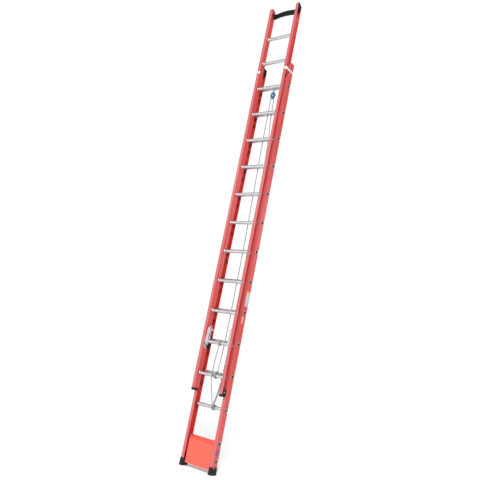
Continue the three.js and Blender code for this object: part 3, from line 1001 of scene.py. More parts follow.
def rung(node, body):
    """A fluted tube along X, the same at both ends: a rolled ring outside each web, a swaged collar inside it,
    and flutes between. The radius of the tread is R - depth * ((1 + cos(flutes * turn)) / 2)^2."""
    look = settings().rungs
    low, high = span(node)
    end, ring = high[0], (high[2] - low[2]) / 2
    tube_radius, bore, gap = 17 * MM, 15 * MM, 7.4 * MM
    bead = tube_radius + look.collar
    half = np.array([  # distance in from the end, radius, share of the flutes
        (3, 17, 0), (3, 18.7, 0), (2.6, 19.35, 0), (1.9, 19.5, 0), (0.9, 19.3, 0), (0.2, 18.4, 0), (0, 17.2, 0),
        (0.2, 16.1, 0), (0.8, 15.3, 0), (2, 15, 0),
    ]) * (MM, MM, 1)
    half[:, 1] *= ring / (19.5 * MM)
    collar = np.array([
        (gap + 26 * MM, tube_radius, 1), (gap + 18 * MM, tube_radius, 1), (gap + 12 * MM, tube_radius, 0),
        (gap + 6.5 * MM, tube_radius, 0), (gap + 5 * MM, tube_radius + 0.3 * look.collar, 0),
        (gap + 3.4 * MM, tube_radius + 0.85 * look.collar, 0), (gap + 2.2 * MM, bead, 0),
        (gap + 1 * MM, bead - 0.1 * look.collar, 0), (gap + 0.2 * MM, bead - 0.5 * look.collar, 0),
        (gap, tube_radius, 0),
    ])
    right = np.concatenate([collar, half])
    x = end - right[:, 0]
    inside = end - 2.6 * MM
    rows = np.concatenate([
        np.stack([x, right[:, 1], right[:, 2]], -1), [[inside, bore, 0], [-inside, bore, 0]],
        np.stack([-x, right[:, 1], right[:, 2]], -1)[::-1], [[-0.06, tube_radius, 1], [0.06, tube_radius, 1]],
    ])
    turn = np.linspace(0, 2 * np.pi, look.flutes * 5 + 1)
    groove = look.depth * ((1 + np.cos(look.flutes * turn)) / 2) ** 2
    radius = rows[:, 1:2] - rows[:, 2:3] * groove[None, :]
    centre = middle(node)
    points = np.stack([
        np.broadcast_to(rows[:, :1], radius.shape), centre[1] + radius * np.cos(turn),
        centre[2] + radius * np.sin(turn),
    ], -1)
    # Painted shade: the bore's points are marked so that the finish paints the inside of the tube almost black.
    dark = np.broadcast_to(rows[:, 1:2] <= bore + 1e-6, radius.shape) * (abs(rows[:, :1]) <= inside + 1e-6)
    shape = grid(points, close_rows=True, rub=dark.astype(float))
    make(f"{node}_look", [shape], body, finish_of("bright_rung", bright_rung), [node], 50)


class LADDER_OT_rungs(bpy.types.Operator):
    """Makes the rungs of both sections and the tube behind the kick panel"""
    bl_idname = "ladder.rungs"
    bl_label = "Rungs"

    def execute(self, context):
        for section in ("base", "fly"):
            for i in RUNGS:
                rung(f"{section}_rung_{i:02d}", section)
        rung("lower_brace", "base")
        return {"FINISHED"}


# --------------------------------------------------------------------------------------------------
# Rubber and plastic ends
# --------------------------------------------------------------------------------------------------


def shoe(side, sign):
    """A boot on a sole: the outline of each is a round-cornered rectangle carried up, drawn in at the grooves.
    The sole stands on bars across it."""
    node = f"shoe_{side}"
    low, high = span(node)
    x, y, _ = middle(node)
    half_x, half_y, height = (high[0] - low[0]) / 2, (high[1] - low[1]) / 2, high[2]
    at = (x, y, 0)
    boot = [(13 * MM, 2 * MM)]
    for groove in np.arange(18, 52, 8.5) * MM:
        boot += [(groove, 1.6 * MM), (groove + 0.7 * MM, 3 * MM), (groove + 2.6 * MM, 3 * MM),
                 (groove + 3.3 * MM, 1.6 * MM)]
    boot += [(height - 9 * MM, 1.6 * MM), (height - 8 * MM, 0.4 * MM), (height - 1.6 * MM, 0.2 * MM),
             (height - 0.4 * MM, 0.9 * MM), (height, 2.2 * MM)]
    sole = [(2.6 * MM, 1.2 * MM), (3.4 * MM, 0.2 * MM), (11 * MM, 0), (13 * MM, 0.8 * MM), (14 * MM, 2.5 * MM)]
    shapes = [carried(round_outline(half_x, half_y, 6 * MM), boot, along_z).moved(at),
              carried(round_outline(half_x, half_y, 6 * MM), sole, along_z).moved(at)]
    bar = round_outline(half_x - 2 * MM, 2.9 * MM, 1 * MM)
    for step in np.linspace(-1, 1, 9) * (half_y - 6 * MM):
        shapes.append(carried(bar, [(0, 0.5 * MM), (0.5 * MM, 0), (3.2 * MM, 0)], along_z).moved((x, y + step, 0)))
    finish = finish_of("shoe_rubber", moulded_black, 0.22)
    make(f"{node}_look", shapes, "base", finish, [node])
    heads = []
    for across in (-20 * MM, 20 * MM):
        place = (x + sign * (half_x - 0.4 * MM), y + across, height - 6 * MM)
        heads.append(rivet(place, (sign, 0, 0), 4.5 * MM, 2 * MM))
    make(f"{node}_rivets", heads, "base", zinc_finish())


class LADDER_OT_shoes(bpy.types.Operator):
    """Makes the two rubber shoes with their treads and rivets"""
    bl_idname = "ladder.shoes"
    bl_label = "Shoes"

    def execute(self, context):
        for side, sign in SIDES:
            shoe(side, sign)
        return {"FINISHED"}


def foot_plug(side, sign):
    """The foot of a front rail: a block in the channel with a rivet through it, on a ribbed cap over the rail's
    end. The cap stays in front of the rear rail's flange."""
    node = f"fly_foot_plug_{side}"
    low, high = span(node)
    rail_low, rail_high = span(f"fly_rail_{side}")
    foot = rail_low[2]
    block = plate(rounded([(low[0], low[1]), (high[0], low[1]), (high[0], high[1]), (low[0], high[1])], 3 * MM),
                  foot - 2 * MM, high[2] - 12 * MM, 1.5 * MM, along_z)
    proud = 1 * MM
    half = (rail_high - rail_low) / 2 + proud
    back = -8 * MM
    half_y = (back - (rail_low[1] - proud)) / 2
    cap = round_outline(half[0], half_y, 4 * MM)
    levels = [(-20, 2), (-19, 0.6), (-17.5, 0), (-14, 0), (-13.3, 1), (-11.5, 1), (-10.8, 0), (-8, 0), (-7.3, 1),
              (-5.5, 1), (-4.8, 0), (1.4, 0), (2, 0.6)]
    rim = carried(cap, [(foot + z * MM, inset * MM) for z, inset in levels], along_z)
    centre_x = (rail_low[0] + rail_high[0]) / 2
    make(f"{node}_look", [block, rim.moved((centre_x, back - half_y, 0))], "fly", black_finish(),
         [node])
    face = high[0] if sign > 0 else low[0]
    place = (face - sign * 0.4 * MM, (low[1] + high[1]) / 2, foot + 20 * MM)
    make(f"{node}_rivet", [rivet(place, (sign, 0, 0), 5.5 * MM, 2.4 * MM)], "fly", zinc_finish())


def top_plug(section, side):
    """The plug of a top end: a block whose top follows the rail's end."""
    node = f"{section}_top_plug_{side}"
    low, high = span(node)
    y = np.linspace(high[1], low[1], 24)
    top = sloped_end(section, f"{section}_rail_{side}")(np.stack([y, y], -1)) + 1.5 * MM
    side_on = np.concatenate([[(low[1], low[2]), (high[1], low[2])], np.stack([y, top], -1)])
    block = plate(side_on, low[0], high[0], 1.2 * MM, along_x)
    make(f"{node}_look", [block], section, black_finish(), [node])


def lip(section, side, sign):
    """A bead of black plastic along the rail's end, from the web's front to the rear flange's tip, a little
    thicker than the rail's wall."""
    look = settings().rails
    corners, end = channel_line(section, side, sign)
    line = np.concatenate([[corners[1] + (0, 9 * MM)], corners[2:]])
    stations = [(lambda flat: end(flat) - 3 * MM, 1), (end, 1), (lambda flat: end(flat) + 1.8 * MM, 1),
                (lambda flat: end(flat) + 2.6 * MM, 0.7)]
    shape = strip(bent(line, look.corner), look.wall + 1.6 * MM, stations, along_z, 3 * MM)
    make(f"{section}_lip_{side}", [shape], section, black_finish())


class LADDER_OT_plugs(bpy.types.Operator):
    """Makes the moulded plugs in the ends of the rails"""
    bl_idname = "ladder.plugs"
    bl_label = "End plugs"

    def execute(self, context):
        for side, sign in SIDES:
            foot_plug(side, sign)
            for section in ("fly", "base"):
                top_plug(section, side)
                lip(section, side, sign)
        return {"FINISHED"}


# --------------------------------------------------------------------------------------------------
# Bars, strap and panel
# --------------------------------------------------------------------------------------------------


def guide_bracket(side, sign):
    """A flat bar on the web of the rear section, bent round the front section's front flange."""
    node = f"guide_bracket_{side}"
    low, high = span(node)
    bar = 3 * MM
    near, far = sorted((abs(low[0]), abs(high[0])))
    near, far, front = near + bar / 2, far - bar / 2, low[1] + bar / 2
    corners = np.array([(sign * far, high[1]), (sign * far, front), (sign * near, front),
                        (sign * near, low[1] + 11 * MM)])
    ease = 0.5 * MM
    stations = [(low[2], 0.55), (low[2] + ease, 1), (high[2] - ease, 1), (high[2], 0.55)]
    shape = strip(bent(corners, 4.5 * MM), bar, stations, along_z, 4 * MM, corners)
    make(f"{node}_look", [shape], "base", finish_of("flat_bar", flat_bar), [node])
    height = (low[2] + high[2]) / 2
    heads = []
    for y in (18 * MM, 47 * MM):
        heads.append(washer((sign * (far + bar / 2), y, height), (sign, 0, 0), 4 * MM, 8 * MM, 1.2 * MM))
        heads.append(rivet((sign * (far + bar / 2 + MM), y, height), (sign, 0, 0), 5 * MM, 2.6 * MM))
    make(f"{node}_rivets", heads, "base", zinc_finish())


class LADDER_OT_brackets(bpy.types.Operator):
    """Makes the guide brackets at the top of the rear section"""
    bl_idname = "ladder.brackets"
    bl_label = "Guide brackets"

    def execute(self, context):
        for side, sign in SIDES:
            guide_bracket(side, sign)
        return {"FINISHED"}


class LADDER_OT_pole_strap(bpy.types.Operator):
    """Makes the ribbed rubber strap between the tops of the front rails"""
    bl_idname = "ladder.pole_strap"
    bl_label = "Pole strap"

    def execute(self, context):
        low, high = span("pole_strap")
        belt = 5 * MM
        x, y = high[0] - belt / 2, 3 * MM - belt / 2
        corner, bow = 14 * MM, 34 * MM
        t = np.linspace(0, 1, 25)[:, None]
        left, right = np.array([-x + corner, y]), np.array([x - corner, y])
        crossing = (1 - t) ** 2 * left + 2 * t * (1 - t) * np.array([0, y - bow]) + t**2 * right
        line = np.concatenate([bent([(-x, low[1]), (-x, y), left], 12 * MM)[:-1], crossing,
                               bent([right, (x, y), (x, low[1])], 12 * MM)[1:]])
        ribs = 10
        pitch = (high[2] - low[2]) / ribs
        stations = []
        for i in range(ribs):
            start = low[2] + i * pitch
            stations += [(start, 0.62), (start + 0.16 * pitch, 0.94), (start + 0.3 * pitch, 1),
                         (start + 0.7 * pitch, 1), (start + 0.84 * pitch, 0.94)]
        stations.append((high[2], 0.62))
        make("pole_strap_look", [strip(line, belt, stations, along_z, 5 * MM)], "fly",
             finish_of("ribbed_black", ribbed_black), ["pole_strap"])
        heads = []
        for _, sign in SIDES:
            for lift in (-18 * MM, 18 * MM):
                face = sign * (high[0] - belt)
                place = (face, low[1] + 14 * MM, (low[2] + high[2]) / 2 + lift)
                heads.append(washer(place, (-sign, 0, 0), 4 * MM, 9 * MM, 1.4 * MM))
                heads.append(rivet((face - sign * 1.2 * MM, *place[1:]), (-sign, 0, 0), 5 * MM, 2.4 * MM))
        make("pole_strap_rivets", heads, "fly", zinc_finish())
        return {"FINISHED"}


class LADDER_OT_kick_panel(bpy.types.Operator):
    """Makes the kick panel, rolled over the lowest rung"""
    bl_idname = "ladder.kick_panel"
    bl_label = "Kick panel"

    def execute(self, context):
        sheet = settings().panel.sheet
        low, high = span("kick_panel")
        centre = middle("base_rung_01")
        radius = 18.3 * MM
        front = centre[1] - radius
        angle = np.linspace(np.pi, 0, 25)
        over = np.stack([centre[1] + radius * np.cos(angle), centre[2] + radius * np.sin(angle)], -1)
        bottom = low[2] + sheet / 2
        line = np.concatenate([
            bent([(front + 15 * MM, bottom), (front, bottom), (front, centre[2])], 3 * MM)[:-1], over,
            [(centre[1] + radius, centre[2] - 22 * MM)],
        ])
        ease = 0.5 * MM
        stations = [(low[0], 0.6), (low[0] + ease, 1), (high[0] - ease, 1), (high[0], 0.6)]
        marks = np.array([(front, bottom), (centre[1], centre[2] + radius)])
        make("kick_panel_look", [strip(line, sheet, stations, along_x, 4 * MM, marks)], "base",
             finish_of("panel_orange", panel_orange), ["kick_panel"])
        heads = []
        brace = middle("lower_brace")[2]
        for _, sign in SIDES:
            place = (sign * 122 * MM, front - sheet / 2, brace)
            heads.append(washer(place, (0, -1, 0), 4 * MM, 8.5 * MM, 1.2 * MM))
            heads.append(rivet((place[0], place[1] - MM, brace), (0, -1, 0), 5 * MM, 2.4 * MM))
        make("kick_panel_rivets", heads, "base", finish_of("panel_orange", panel_orange))
        inner = radius + sheet
        angle = np.linspace(np.pi, 0.25, 22)
        fold = np.concatenate([
            [(centre[1] - inner, centre[2] - 20 * MM)],
            np.stack([centre[1] + inner * np.cos(angle), centre[2] + inner * np.sin(angle)], -1)])
        # The fold's finish is a darker, deeper copy of the orange: painted shade for the roll over the rung.
        make("kick_panel_fold", [strip(fold, 1.8 * MM, stations, along_x, 4 * MM, fold[:1])], "base",
             finish_of("panel_fold", panel_orange, 0.78))
        return {"FINISHED"}


# --------------------------------------------------------------------------------------------------
# Rung locks
# --------------------------------------------------------------------------------------------------


def about(centre, points):
    """Points given in millimetres from a centre, each (y, z)."""
    return np.asarray(centre) + np.asarray(points, float) * MM


def hook_outline(pivot):
    """A foot round the pivot, an arm, and a seat: an arc whose centre lies where the held rung's is once the hook
    has swung down, so reach and bearing are those of the held rung turned back by the swing."""
    swing, held = math.radians(80), np.array([62, -12])
    reach, bearing = np.hypot(*held), math.atan2(held[1], held[0]) + swing
    seat = 17.7
    angle = np.radians(np.linspace(238, 98, 15))
    centre = reach * np.array([math.cos(bearing), math.sin(bearing)])
    arc = centre + seat * np.stack([np.cos(angle), np.sin(angle)], -1)
    foot = [(10 * math.cos(a), 10 * math.sin(a)) for a in np.radians(np.linspace(190, 350, 9))]
    sides = [*foot, (16, 22), (15.5, 38), *arc, (37.4, 75.4), (41.5, 74.6), (43, 79), (42.4, 85), (37, 90),
             (13, 96), (3, 93), (-5, 84), (-13.5, 60), (-14, 46)]
    return rounded(about(pivot, sides), 3 * MM)


def lock(side, sign):
    """The cast plate on the rail, the hook on its pin, the spring behind it and the moulded finger under it."""
    web = abs(span(f"lock_bracket_{side}")[1 if sign > 0 else 0][0])
    rung_at = middle("fly_rung_02")[1:]
    pivot = rung_at + np.array([0, 30 * MM])
    cast = finish_of("cast_aluminium", casting)

    outline = rounded(about(rung_at, [
        (-24, -64), (2, -78), (14, -60), (30, -20), (32, 60), (28, 118), (16, 146), (-4, 146), (-16, 118),
        (-30, 20)]), 12 * MM)
    faces = sorted((sign * (web - 4 * MM), sign * web))
    rim = faces[0] if sign > 0 else faces[1]
    back = plate(outline, *faces, 0.9 * MM, along_x)
    bar = bent(about(rung_at, [(9, 146), (-11, 141), (-21, 124), (-21, 4), (-15, -22), (-2, -34)]), 9 * MM)
    bar_x = sorted((sign * (web - 6 * MM), sign * (web - 30 * MM)))
    rod_x = (bar_x[0] - 0.8 * MM, bar_x[1] + 0.8 * MM)
    bosses = [strip(bar, 5 * MM, [(bar_x[0], 0.6), (bar_x[0] + MM, 1), (bar_x[1] - MM, 1), (bar_x[1], 0.6)],
                    along_x, 3 * MM),
              rod((0, *about(rung_at, (3, 141))), (1, 0, 0), 7 * MM, *rod_x, 32),
              washer((rim, *rung_at), (-sign, 0, 0), 18 * MM, 24.5 * MM, 5 * MM),
              washer((rim, *pivot), (-sign, 0, 0), 4 * MM, 8 * MM, 1.5 * MM)]
    ribs = [plate(about(rung_at, line), *sorted((rim + sign * MM, rim - sign * 3 * MM)), 0.8 * MM, along_x)
            for line in ([(-22, 26), (-19, 26), (-10, 116), (-13, 116)], [(26, 8), (29, 8), (25, 116), (22, 116)])]
    piece = make(f"lock_bracket_{side}_look", [back], "fly", cast, [f"lock_bracket_{side}"])
    opening = rounded(about(rung_at, [(-13, 50), (19, 44), (19, 104), (0, 122), (-9, 116)]), 5 * MM)
    drill(piece, [rod((0, *rung_at), (1, 0, 0), 19.9 * MM, *sorted((sign * 0.13, sign * 0.16))),
                  carried(opening, [(faces[0] - MM, 0), (faces[1] + MM, 0)], along_x)])
    make(f"lock_boss_{side}", bosses + ribs, "fly", cast)

    inner, outer = sorted(abs(np.array([span(f"lock_hook_{side}")[i][0] for i in (0, 1)])))
    faces = sorted((sign * inner, sign * outer))
    hook = make(f"lock_hook_{side}_look", [plate(hook_outline(pivot), *faces, 1.6 * MM, along_x)], f"hook_{side}",
                cast, [f"lock_hook_{side}"])
    window = rounded(about(pivot, [(-5, 15), (8, 15), (9, 33), (-7, 45)]), 3 * MM)
    drill(hook, [carried(window, [(faces[0] - MM, 0), (faces[1] + MM, 0)], along_x)])
    rims = [plate(about(pivot, line), *sorted((sign * (inner + MM), sign * (inner - 1.8 * MM))), 0.7 * MM, along_x)
            for line in ([(-9, 54), (-6, 54), (4, 86), (1, 86)], [(2, 88), (4, 85.5), (36, 81.5), (36.5, 84)])]
    make(f"lock_hook_rim_{side}", rims, f"hook_{side}", cast)

    finger = rounded(about(rung_at, [(22, -26), (33, -20), (41, -28), (43, -56), (37, -72), (28, -72), (21, -50)]),
                     4 * MM)
    low, high = span(f"lock_finger_{side}")
    make(f"lock_finger_{side}_look", [plate(finger, low[0], high[0], 1.4 * MM, along_x)], "fly", black_finish(),
         [f"lock_finger_{side}"])

    out = -sign
    start = np.array([sign * web, *pivot])
    reach = web - inner
    pin = [(0, 0.5), (3.7, 0.5), (3.7, reach / MM + 0.6), (6.6, reach / MM + 0.6), (7, reach / MM + 1),
           (7, reach / MM + 3.6), (6.2, reach / MM + 4.6), (3, reach / MM + 5), (0, reach / MM + 5)]
    make(f"lock_pin_{side}_look", [turned(np.array(pin) * MM, 32, start, (out, 0, 0))], "fly", zinc_finish(),
         [f"lock_pin_{side}"])
    turns, wire = 5, 1 * MM
    room = (outer + 1.2 * MM, web - 6.2 * MM)
    coil = helix((sign * room[1], *pivot), (out, 0, 0), 6.4 * MM, turns, (room[1] - room[0]) / turns, step=15)
    leg = coil[-1] + np.array([0, -22 * MM, -6 * MM]) * np.linspace(0, 1, 5)[1:, None]
    make(f"lock_spring_{side}", [tube(np.concatenate([coil, leg]), wire, 10, (1, 0.2, 0.1))], "fly", zinc_finish())

    heads = hex_head((rim, *about(rung_at, (6, 132))), (-sign, 0, 0), 13 * MM, 6.5 * MM)
    for place in ((-9, -52), (8, -42), (-18, 96)):
        heads.append(rivet((rim, *about(rung_at, place)), (-sign, 0, 0), 4.5 * MM, 2.2 * MM))
    make(f"lock_bolts_{side}", heads, "fly", zinc_finish())


class LADDER_OT_locks(bpy.types.Operator):
    """Makes the two rung locks"""
    bl_idname = "ladder.locks"
    bl_label = "Rung locks"

    def execute(self, context):
        for side, sign in SIDES:
            lock(side, sign)
        return {"FINISHED"}


# --------------------------------------------------------------------------------------------------
# Pulley
# --------------------------------------------------------------------------------------------------


class LADDER_OT_pulley(bpy.types.Operator):
    """Makes the pulley: its hanger, cheeks, sheave and axle"""
    bl_idname = "ladder.pulley"
    bl_label = "Pulley"

    def execute(self, context):
        x, _, z = centre = middle("sheave")
        top = middle("base_rung_13")
        band_low, band_high = span("pulley_hanger")
        half = (band_high[0] - band_low[0]) / 2
        e = 0.8 * MM
        band = turned([(17.4 * MM, -half + e), (18 * MM, -half), (19.9 * MM, -half), (20.5 * MM, -half + e),
                       (20.5 * MM, half - e), (19.9 * MM, half), (18 * MM, half), (17.4 * MM, half - e)], 72,
                      (x, top[1], top[2]), (1, 0, 0), closed=True, rub=[0, 0.5, 0.8, 0.8, 0.8, 0.8, 0.5, 0])
        leg = strip(bent([(0, band_low[2]), (0, top[2] - 23 * MM), (17 * MM, top[2] - 12 * MM)], 8 * MM), 3 * MM,
                    [(x - 9 * MM, 0.6), (x - 8.4 * MM, 1), (x + 8.4 * MM, 1), (x + 9 * MM, 0.6)], along_x, 3 * MM)
        make("pulley_hanger_look", [band, leg], "base", zinc_finish(), ["pulley_hanger"])

        cheek = about((x, z), [(-9, 41), (9, 41), (20, 31), (26, 14), (27.5, -4), (22, -19), (13, -31), (0, -37),
                               (-13, -31), (-22, -19), (-27.5, -4), (-26, 14), (-20, 31)])
        outline = closed_curve(cheek, 72)
        pin = z + 33 * MM
        shapes = []
        for _, sign in SIDES:
            shapes.append(plate(outline, *sorted((sign * 6.5 * MM, sign * 8.5 * MM)), 0.5 * MM, along_y))
            for height in (pin, z - 29 * MM):
                shapes.append(rivet((x, sign * 8.4 * MM, height), (0, sign, 0), 4.4 * MM, 2 * MM))
            shapes.append(washer((x, sign * 8.2 * MM, z), (0, sign, 0), 11 * MM, 15 * MM, 1.1 * MM))
        for height, radius in ((pin, 3.5 * MM), (z - 29 * MM, 3 * MM)):
            shapes.append(rod((x, 0, height), (0, 1, 0), radius, -7 * MM, 7 * MM, 24))
        make("pulley_block_look", shapes, "base", finish_of("pulley_enamel", pulley_enamel),
             ["pulley_block"])

        angle = np.radians(np.linspace(-82, 82, 15))
        pitch, groove = 19.3, 5.0
        wheel = [(4.3, -6.2), (8.2, -6.2), (8.8, -5.2), (12.6, -5.2), (13.2, -6.2), (19.4, -6.2), (20, -5.7),
                 *np.stack([pitch - groove * np.cos(angle), groove * np.sin(angle)], -1),
                 (20, 5.7), (19.4, 6.2), (13.2, 6.2), (12.6, 5.2), (8.8, 5.2), (8.2, 6.2), (4.3, 6.2)]
        make("sheave_look", [turned(np.array(wheel) * MM, 72, centre, (0, 1, 0), closed=True)], "sheave",
             black_finish(), ["sheave"])

        bolt = turned(np.array([(0, -11), (3.6, -11), (5.8, -10.2), (6.5, -9.4), (6.4, -8.8), (4, -8.6), (4, 9),
                                (0, 9)]) * MM, 36, centre, (0, 1, 0))
        nut = hex_head((x, 8.7 * MM, z), (0, 1, 0), 11 * MM, 3 * MM)
        make("sheave_axle_look", [bolt, *nut], "base", zinc_finish(), ["sheave_axle"])
        return {"FINISHED"}


# --------------------------------------------------------------------------------------------------
# Rope
# --------------------------------------------------------------------------------------------------


def cord_shape(path, trim=0.0):
    """The plaited cord along a path: a tube whose radius swells by the product of two sines, one for each way
    that the yarns wind."""
    rope = settings().rope
    radius = rope.diameter / 2
    sides = 32
    around = np.linspace(0, 1, sides + 1)[None, :]
    along = run_of(path)[:, None] / rope.plait
    swell = abs(np.sin(np.pi * (8 * around + along))) * abs(np.sin(np.pi * (8 * around - along)))
    relief = radius - 0.35 * MM + 0.5 * MM * swell - trim
    ends = np.minimum(run_of(path), run_of(path)[-1] - run_of(path))[:, None]
    rounding = np.sqrt(np.clip(1 - (1 - np.clip(ends / radius, 0.04, 1)) ** 2, 0, 1))
    return tube(path, relief * rounding, sides, (0.3, 1, 0.2))


def laid(path, phase, start, full, end_share):
    """A strand of a twisted pair: it winds round the path at its own radius, fully so below one height and not
    at all above another. Towards its lower end it keeps only a share of the radius."""
    pitch, radius = 42 * MM, 6.4 * MM
    turn = 2 * np.pi * (path[-1, 2] - path[:, 2:]) / pitch + phase
    share = 1 - smooth_step(start, full, path[:, 2:])
    share *= end_share + (1 - end_share) * smooth_step(0, 50 * MM, path[:, 2:] - path[-1, 2])
    across = unit([1.0, 0, -0.5])
    return path + radius * share * (np.cos(turn) * across + np.sin(turn) * np.array([0, 1.0, 0]))


def cord_piece(name, route, body, replaces=(), blend=None, wind=None):
    """A length of the cord along a route of points in millimetres."""
    path = through(np.asarray(route, float) * MM, 2 * MM)
    if wind:
        path = laid(path, *wind)
    piece = make(name, [cord_shape(path)], None if blend else body, rope_finish(), replaces, 60)
    if blend:
        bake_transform(piece)
    return path


def resampled(line, step):
    """The same line with a point each step along it."""
    return picked(line, np.arange(0, run_of(line)[-1] + step / 2, step))


def haul_route(pulley):
    """Half a turn over the sheave, then down behind the rungs to the tie-off, in millimetres."""
    angle = np.radians(np.linspace(180, 0, 13))
    over = [(pulley[0] + 19.3 * math.cos(a), 0, pulley[2] + 19.3 * math.sin(a)) for a in angle]
    return [*over, (56, 0, 3720), (60, 0, 3600), (68, 0, 3480), (80, 0, 3360), (92, 0, 3220), (100, 0, 3060),
            (104, 0, 2860), (104, 0, 2300), (104, 0, 1700), (104, 0, 1150), (103, 0, 900), (99, 0, 800),
            (88, 1, 720), (72, 4, 650), (60, 7, 612), (54, 9, 596), (50, 12, 579)]


class LADDER_OT_rope(bpy.types.Operator):
    """Makes the hoisting rope, its knots and its loose end"""
    bl_idname = "ladder.rope"
    bl_label = "Rope"

    def execute(self, context):
        pulley = middle("sheave") / MM
        haul = haul_route(pulley)
        cord_piece("rope_haul_strand_look", haul, "base", ["rope_haul_strand"], wind=(0.0, 0.74, 0.80, 0))
        cord_piece("rope_fly_strand_look", [
            (pulley[0] - 19.3, 0, pulley[2]), (17.4, 0, 3680), (19, 0, 3500), (24, 0, 3200), (33, 0, 2850),
            (43, 0, 2450), (49, 0, 2100), (51, 0, 1750), (51, 0, 1400), (50, 0, 1180), (48, -3, 1050),
            (46, -10, 960), (45, -14, 900), (45, -14, 880)], "base", ["rope_fly_strand"],
            blend=((0.017, 0, 3.70), (0.045, -0.014, 0.90)))
        cord_piece("rope_tail_look", [
            (46, 4, 586), (40, 2, 604), (35, -14, 660), (27, -34, 730), (20, -49, 790), (17, -55, 850), (18, -56, 930),
            (22, -55, 1030), (27, -53.5, 1112)], "base", ["rope_tail"],
            blend=((0.04, 0.002, 0.61), (0.017, -0.055, 0.85)))

        lay, step = 8.8, 6
        wound = 21.8
        fly = middle("fly_rung_01") / MM
        turns = helix((53, fly[1], fly[2]), (-1, 0, 0), wound, 1.75, lay, math.pi, 15)
        collar = helix((45, -14, 876), (0, 0, -1), 9, 1.6, -lay, math.radians(250), 15)
        knot = np.concatenate([[(45, -14, 885), (47, -12, 870), (51, -10, 860)], turns,
                               [(36.5, -25, 871)], collar])
        cord_piece("fly_knot_look", resampled(knot, step), "fly", ["fly_knot"])

        base = middle("base_rung_02") / MM
        turns = helix((38.5, base[1], base[2]), (1, 0, 0), wound, 2.75, lay, math.pi, 15)
        angle = np.radians(np.linspace(-20, 300, 40))
        lump = np.array([50, 0, 572]) + 4.6 * np.stack([
            np.sin(angle) + 2 * np.sin(2 * angle), -1.1 * np.sin(3 * angle),
            np.cos(angle) - 2 * np.cos(2 * angle)], -1)
        knot = np.concatenate([[(52, 8, 593), (45, 9, 582)], turns, [(61, 14, 586)], lump])
        cord_piece("base_knot_look", resampled(knot, step), "base", ["base_knot"])

        cord_piece("rope_end", haul[-8:], "base", wind=(math.pi, 0.95, 1.0, 0.7))

        second = middle("fly_rung_02") / MM
        turns = helix((27, second[1], second[2]), (-1, 0, 0), wound, 1.02, lay, 0, 15)
        hitch = np.concatenate([[(26.8, -53.6, 1108), (27, -53.2, 1128)], turns,
                                [(17.5, -46, 1164), (19, -34, 1172), (20, -20, 1168)]])
        cord_piece("rope_hitch", resampled(hitch, step), "fly")
        return {"FINISHED"}


# --------------------------------------------------------------------------------------------------
# Labels
# --------------------------------------------------------------------------------------------------


def label(name, y_range, z_range, finish):
    """A thin film with round corners on the outside of the right rear rail, its (u, v) from 0 to 1 across and up."""
    web = span("base_rail_right")[1][0]
    low, high = np.array([y_range[0], z_range[0]]) * MM, np.array([y_range[1], z_range[1]]) * MM
    outline = round_outline(*((high - low) / 2), 3 * MM) + (low + high) / 2
    film = carried(outline, [(web - 0.1 * MM, 0), (web + 0.2 * MM, 0), (web + 0.25 * MM, 0.1 * MM)], along_x)
    film.uv = (film.points[:, 1:] - low) / (high - low)
    make(name, [film], "base", finish)


class LADDER_OT_labels(bpy.types.Operator):
    """Makes the plain labels on the right rail"""
    bl_idname = "ladder.labels"
    bl_label = "Labels"

    def execute(self, context):
        look = settings().labels
        paper, band, blue, pink = tuple(look.paper), tuple(look.band), tuple(look.blue), tuple(look.pink)
        tall = finish_of("label_tall", label_vinyl, paper, band)
        label("label_tall", (5, 62), (1530, 1672), tall)
        label("label_small", (5, 30), (1365, 1430), finish_of("label_small", label_vinyl, pink, pink))
        label("label_low", (10, 45), (165, 215), finish_of("label_low", label_vinyl, blue, blue))
        return {"FINISHED"}


# --------------------------------------------------------------------------------------------------
# Stage
# --------------------------------------------------------------------------------------------------


def area_light(name, place, target, size, watts):
    light = bpy.data.lights.new(name, "AREA")
    light.shape, light.size, light.energy = "DISK", size, watts
    lamp = bpy.data.objects.new(name, light)
    lamp.location = place
    lamp.rotation_euler = (Vector(target) - Vector(place)).to_track_quat("-Z", "Y").to_euler()
    bpy.context.scene.collection.objects.link(lamp)


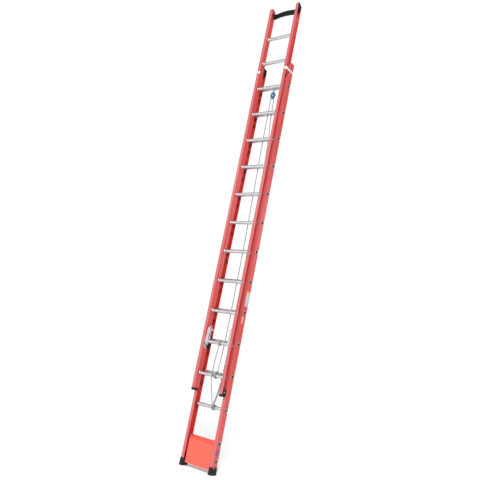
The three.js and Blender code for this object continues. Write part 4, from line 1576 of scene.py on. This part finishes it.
class LADDER_OT_stage(bpy.types.Operator):
    """Makes the camera, the lights, the pale surroundings and the floor"""
    bl_idname = "ladder.stage"
    bl_label = "Stage"

    def execute(self, context):
        scene, look = context.scene, settings().stage
        azimuth, elevation, roll = look.azimuth, look.elevation, look.roll
        forward = Vector((-math.sin(azimuth) * math.cos(elevation), math.cos(azimuth) * math.cos(elevation),
                          math.sin(elevation)))
        level = Vector((math.cos(azimuth), math.sin(azimuth), 0))
        upright = level.cross(forward)
        right = level * math.cos(roll) + upright * math.sin(roll)
        above = upright * math.cos(roll) - level * math.sin(roll)
        lens = bpy.data.cameras.new("camera")
        lens.lens, lens.sensor_width = look.lens, 36
        lens.clip_start, lens.clip_end = 0.05, 200
        camera = bpy.data.objects.new("camera", lens)
        turn = Matrix((right, above, -forward)).transposed().to_4x4()
        camera.matrix_world = Matrix.Translation(look.camera_place) @ turn
        scene.collection.objects.link(camera)
        scene.camera = camera

        world = bpy.data.worlds.new("surroundings")
        world.use_nodes = True
        nodes, links = world.node_tree.nodes, world.node_tree.links
        glow = nodes["Background"]
        glow.inputs["Color"].default_value = (1, 1, 1, 1)
        glow.inputs["Strength"].default_value = look.glow
        backdrop = nodes.new("ShaderNodeBackground")
        backdrop.inputs["Color"].default_value = (1, 1, 1, 1)
        backdrop.inputs["Strength"].default_value = 1.05
        seen, mixed = nodes.new("ShaderNodeLightPath"), nodes.new("ShaderNodeMixShader")
        links.new(seen.outputs["Is Camera Ray"], mixed.inputs[0])
        links.new(glow.outputs[0], mixed.inputs[1])
        links.new(backdrop.outputs[0], mixed.inputs[2])
        links.new(mixed.outputs[0], nodes["World Output"].inputs["Surface"])
        scene.world = world
        scene.view_settings.view_transform = "Standard"
        sun = bpy.data.lights.new("key", "SUN")
        sun.energy, sun.angle = look.key, math.radians(14)
        key = bpy.data.objects.new("key", sun)
        key.rotation_euler = Vector((-0.44, 0.66, -0.64)).to_track_quat("-Z", "Y").to_euler()
        scene.collection.objects.link(key)
        area_light("fill", (-3.6, -4.4, 3.4), (0, 0, 2.2), 3.2, 50)
        area_light("back", (3.4, 4.6, 3.6), (0, 0, 2.6), 2.4, 25)

        half = 14.0
        points = np.array([(-half, -half, 0), (half, -half, 0), (half, half, 0), (-half, half, 0)])
        mesh = build_mesh("floor", [Shape(points, [[0, 1, 2, 3]])])
        floor = bpy.data.objects.new("floor", mesh)
        scene.collection.objects.link(floor)
        floor.data.materials.append(finish_of("pale_floor", pale_floor))
        return {"FINISHED"}


# --------------------------------------------------------------------------------------------------
# Add-on
# --------------------------------------------------------------------------------------------------

OPERATORS = (
    LADDER_OT_stage, LADDER_OT_rope, LADDER_OT_rails, LADDER_OT_rungs, LADDER_OT_shoes, LADDER_OT_plugs,
    LADDER_OT_brackets, LADDER_OT_pole_strap, LADDER_OT_kick_panel, LADDER_OT_locks, LADDER_OT_pulley,
    LADDER_OT_labels,
)


class LADDER_PT_panel(bpy.types.Panel):
    """Settings and steps of the ladder"""
    bl_idname = "LADDER_PT_panel"
    bl_label = "Ladder"
    bl_space_type = "VIEW_3D"
    bl_region_type = "UI"
    bl_category = "Ladder"

    def draw(self, context):
        look = context.scene.ladder
        for group in ("stage", "rails", "rungs", "rope", "rubber", "panel", "metal", "labels"):
            box = self.layout.box()
            box.label(text=group.capitalize())
            values = getattr(look, group)
            for name in values.bl_rna.properties.keys():
                if name not in ("rna_type", "name"):
                    box.prop(values, name)
        for operator in OPERATORS:
            self.layout.operator(operator.bl_idname)


CLASSES = (
    StageSettings, RailSettings, RungSettings, RopeSettings, RubberSettings, PanelSettings, MetalSettings,
    LabelSettings, LadderSettings, *OPERATORS, LADDER_PT_panel,
)


def register():
    for kind in CLASSES:
        bpy.utils.register_class(kind)
    bpy.types.Scene.ladder = bpy.props.PointerProperty(type=LadderSettings)


def unregister():
    del bpy.types.Scene.ladder
    for kind in reversed(CLASSES):
        bpy.utils.unregister_class(kind)


def main():
    register()
    for operator in OPERATORS:
        group, name = operator.bl_idname.split(".")
        getattr(getattr(bpy.ops, group), name)()
    bpy.context.view_layer.update()


if __name__ == "__main__":
    main()
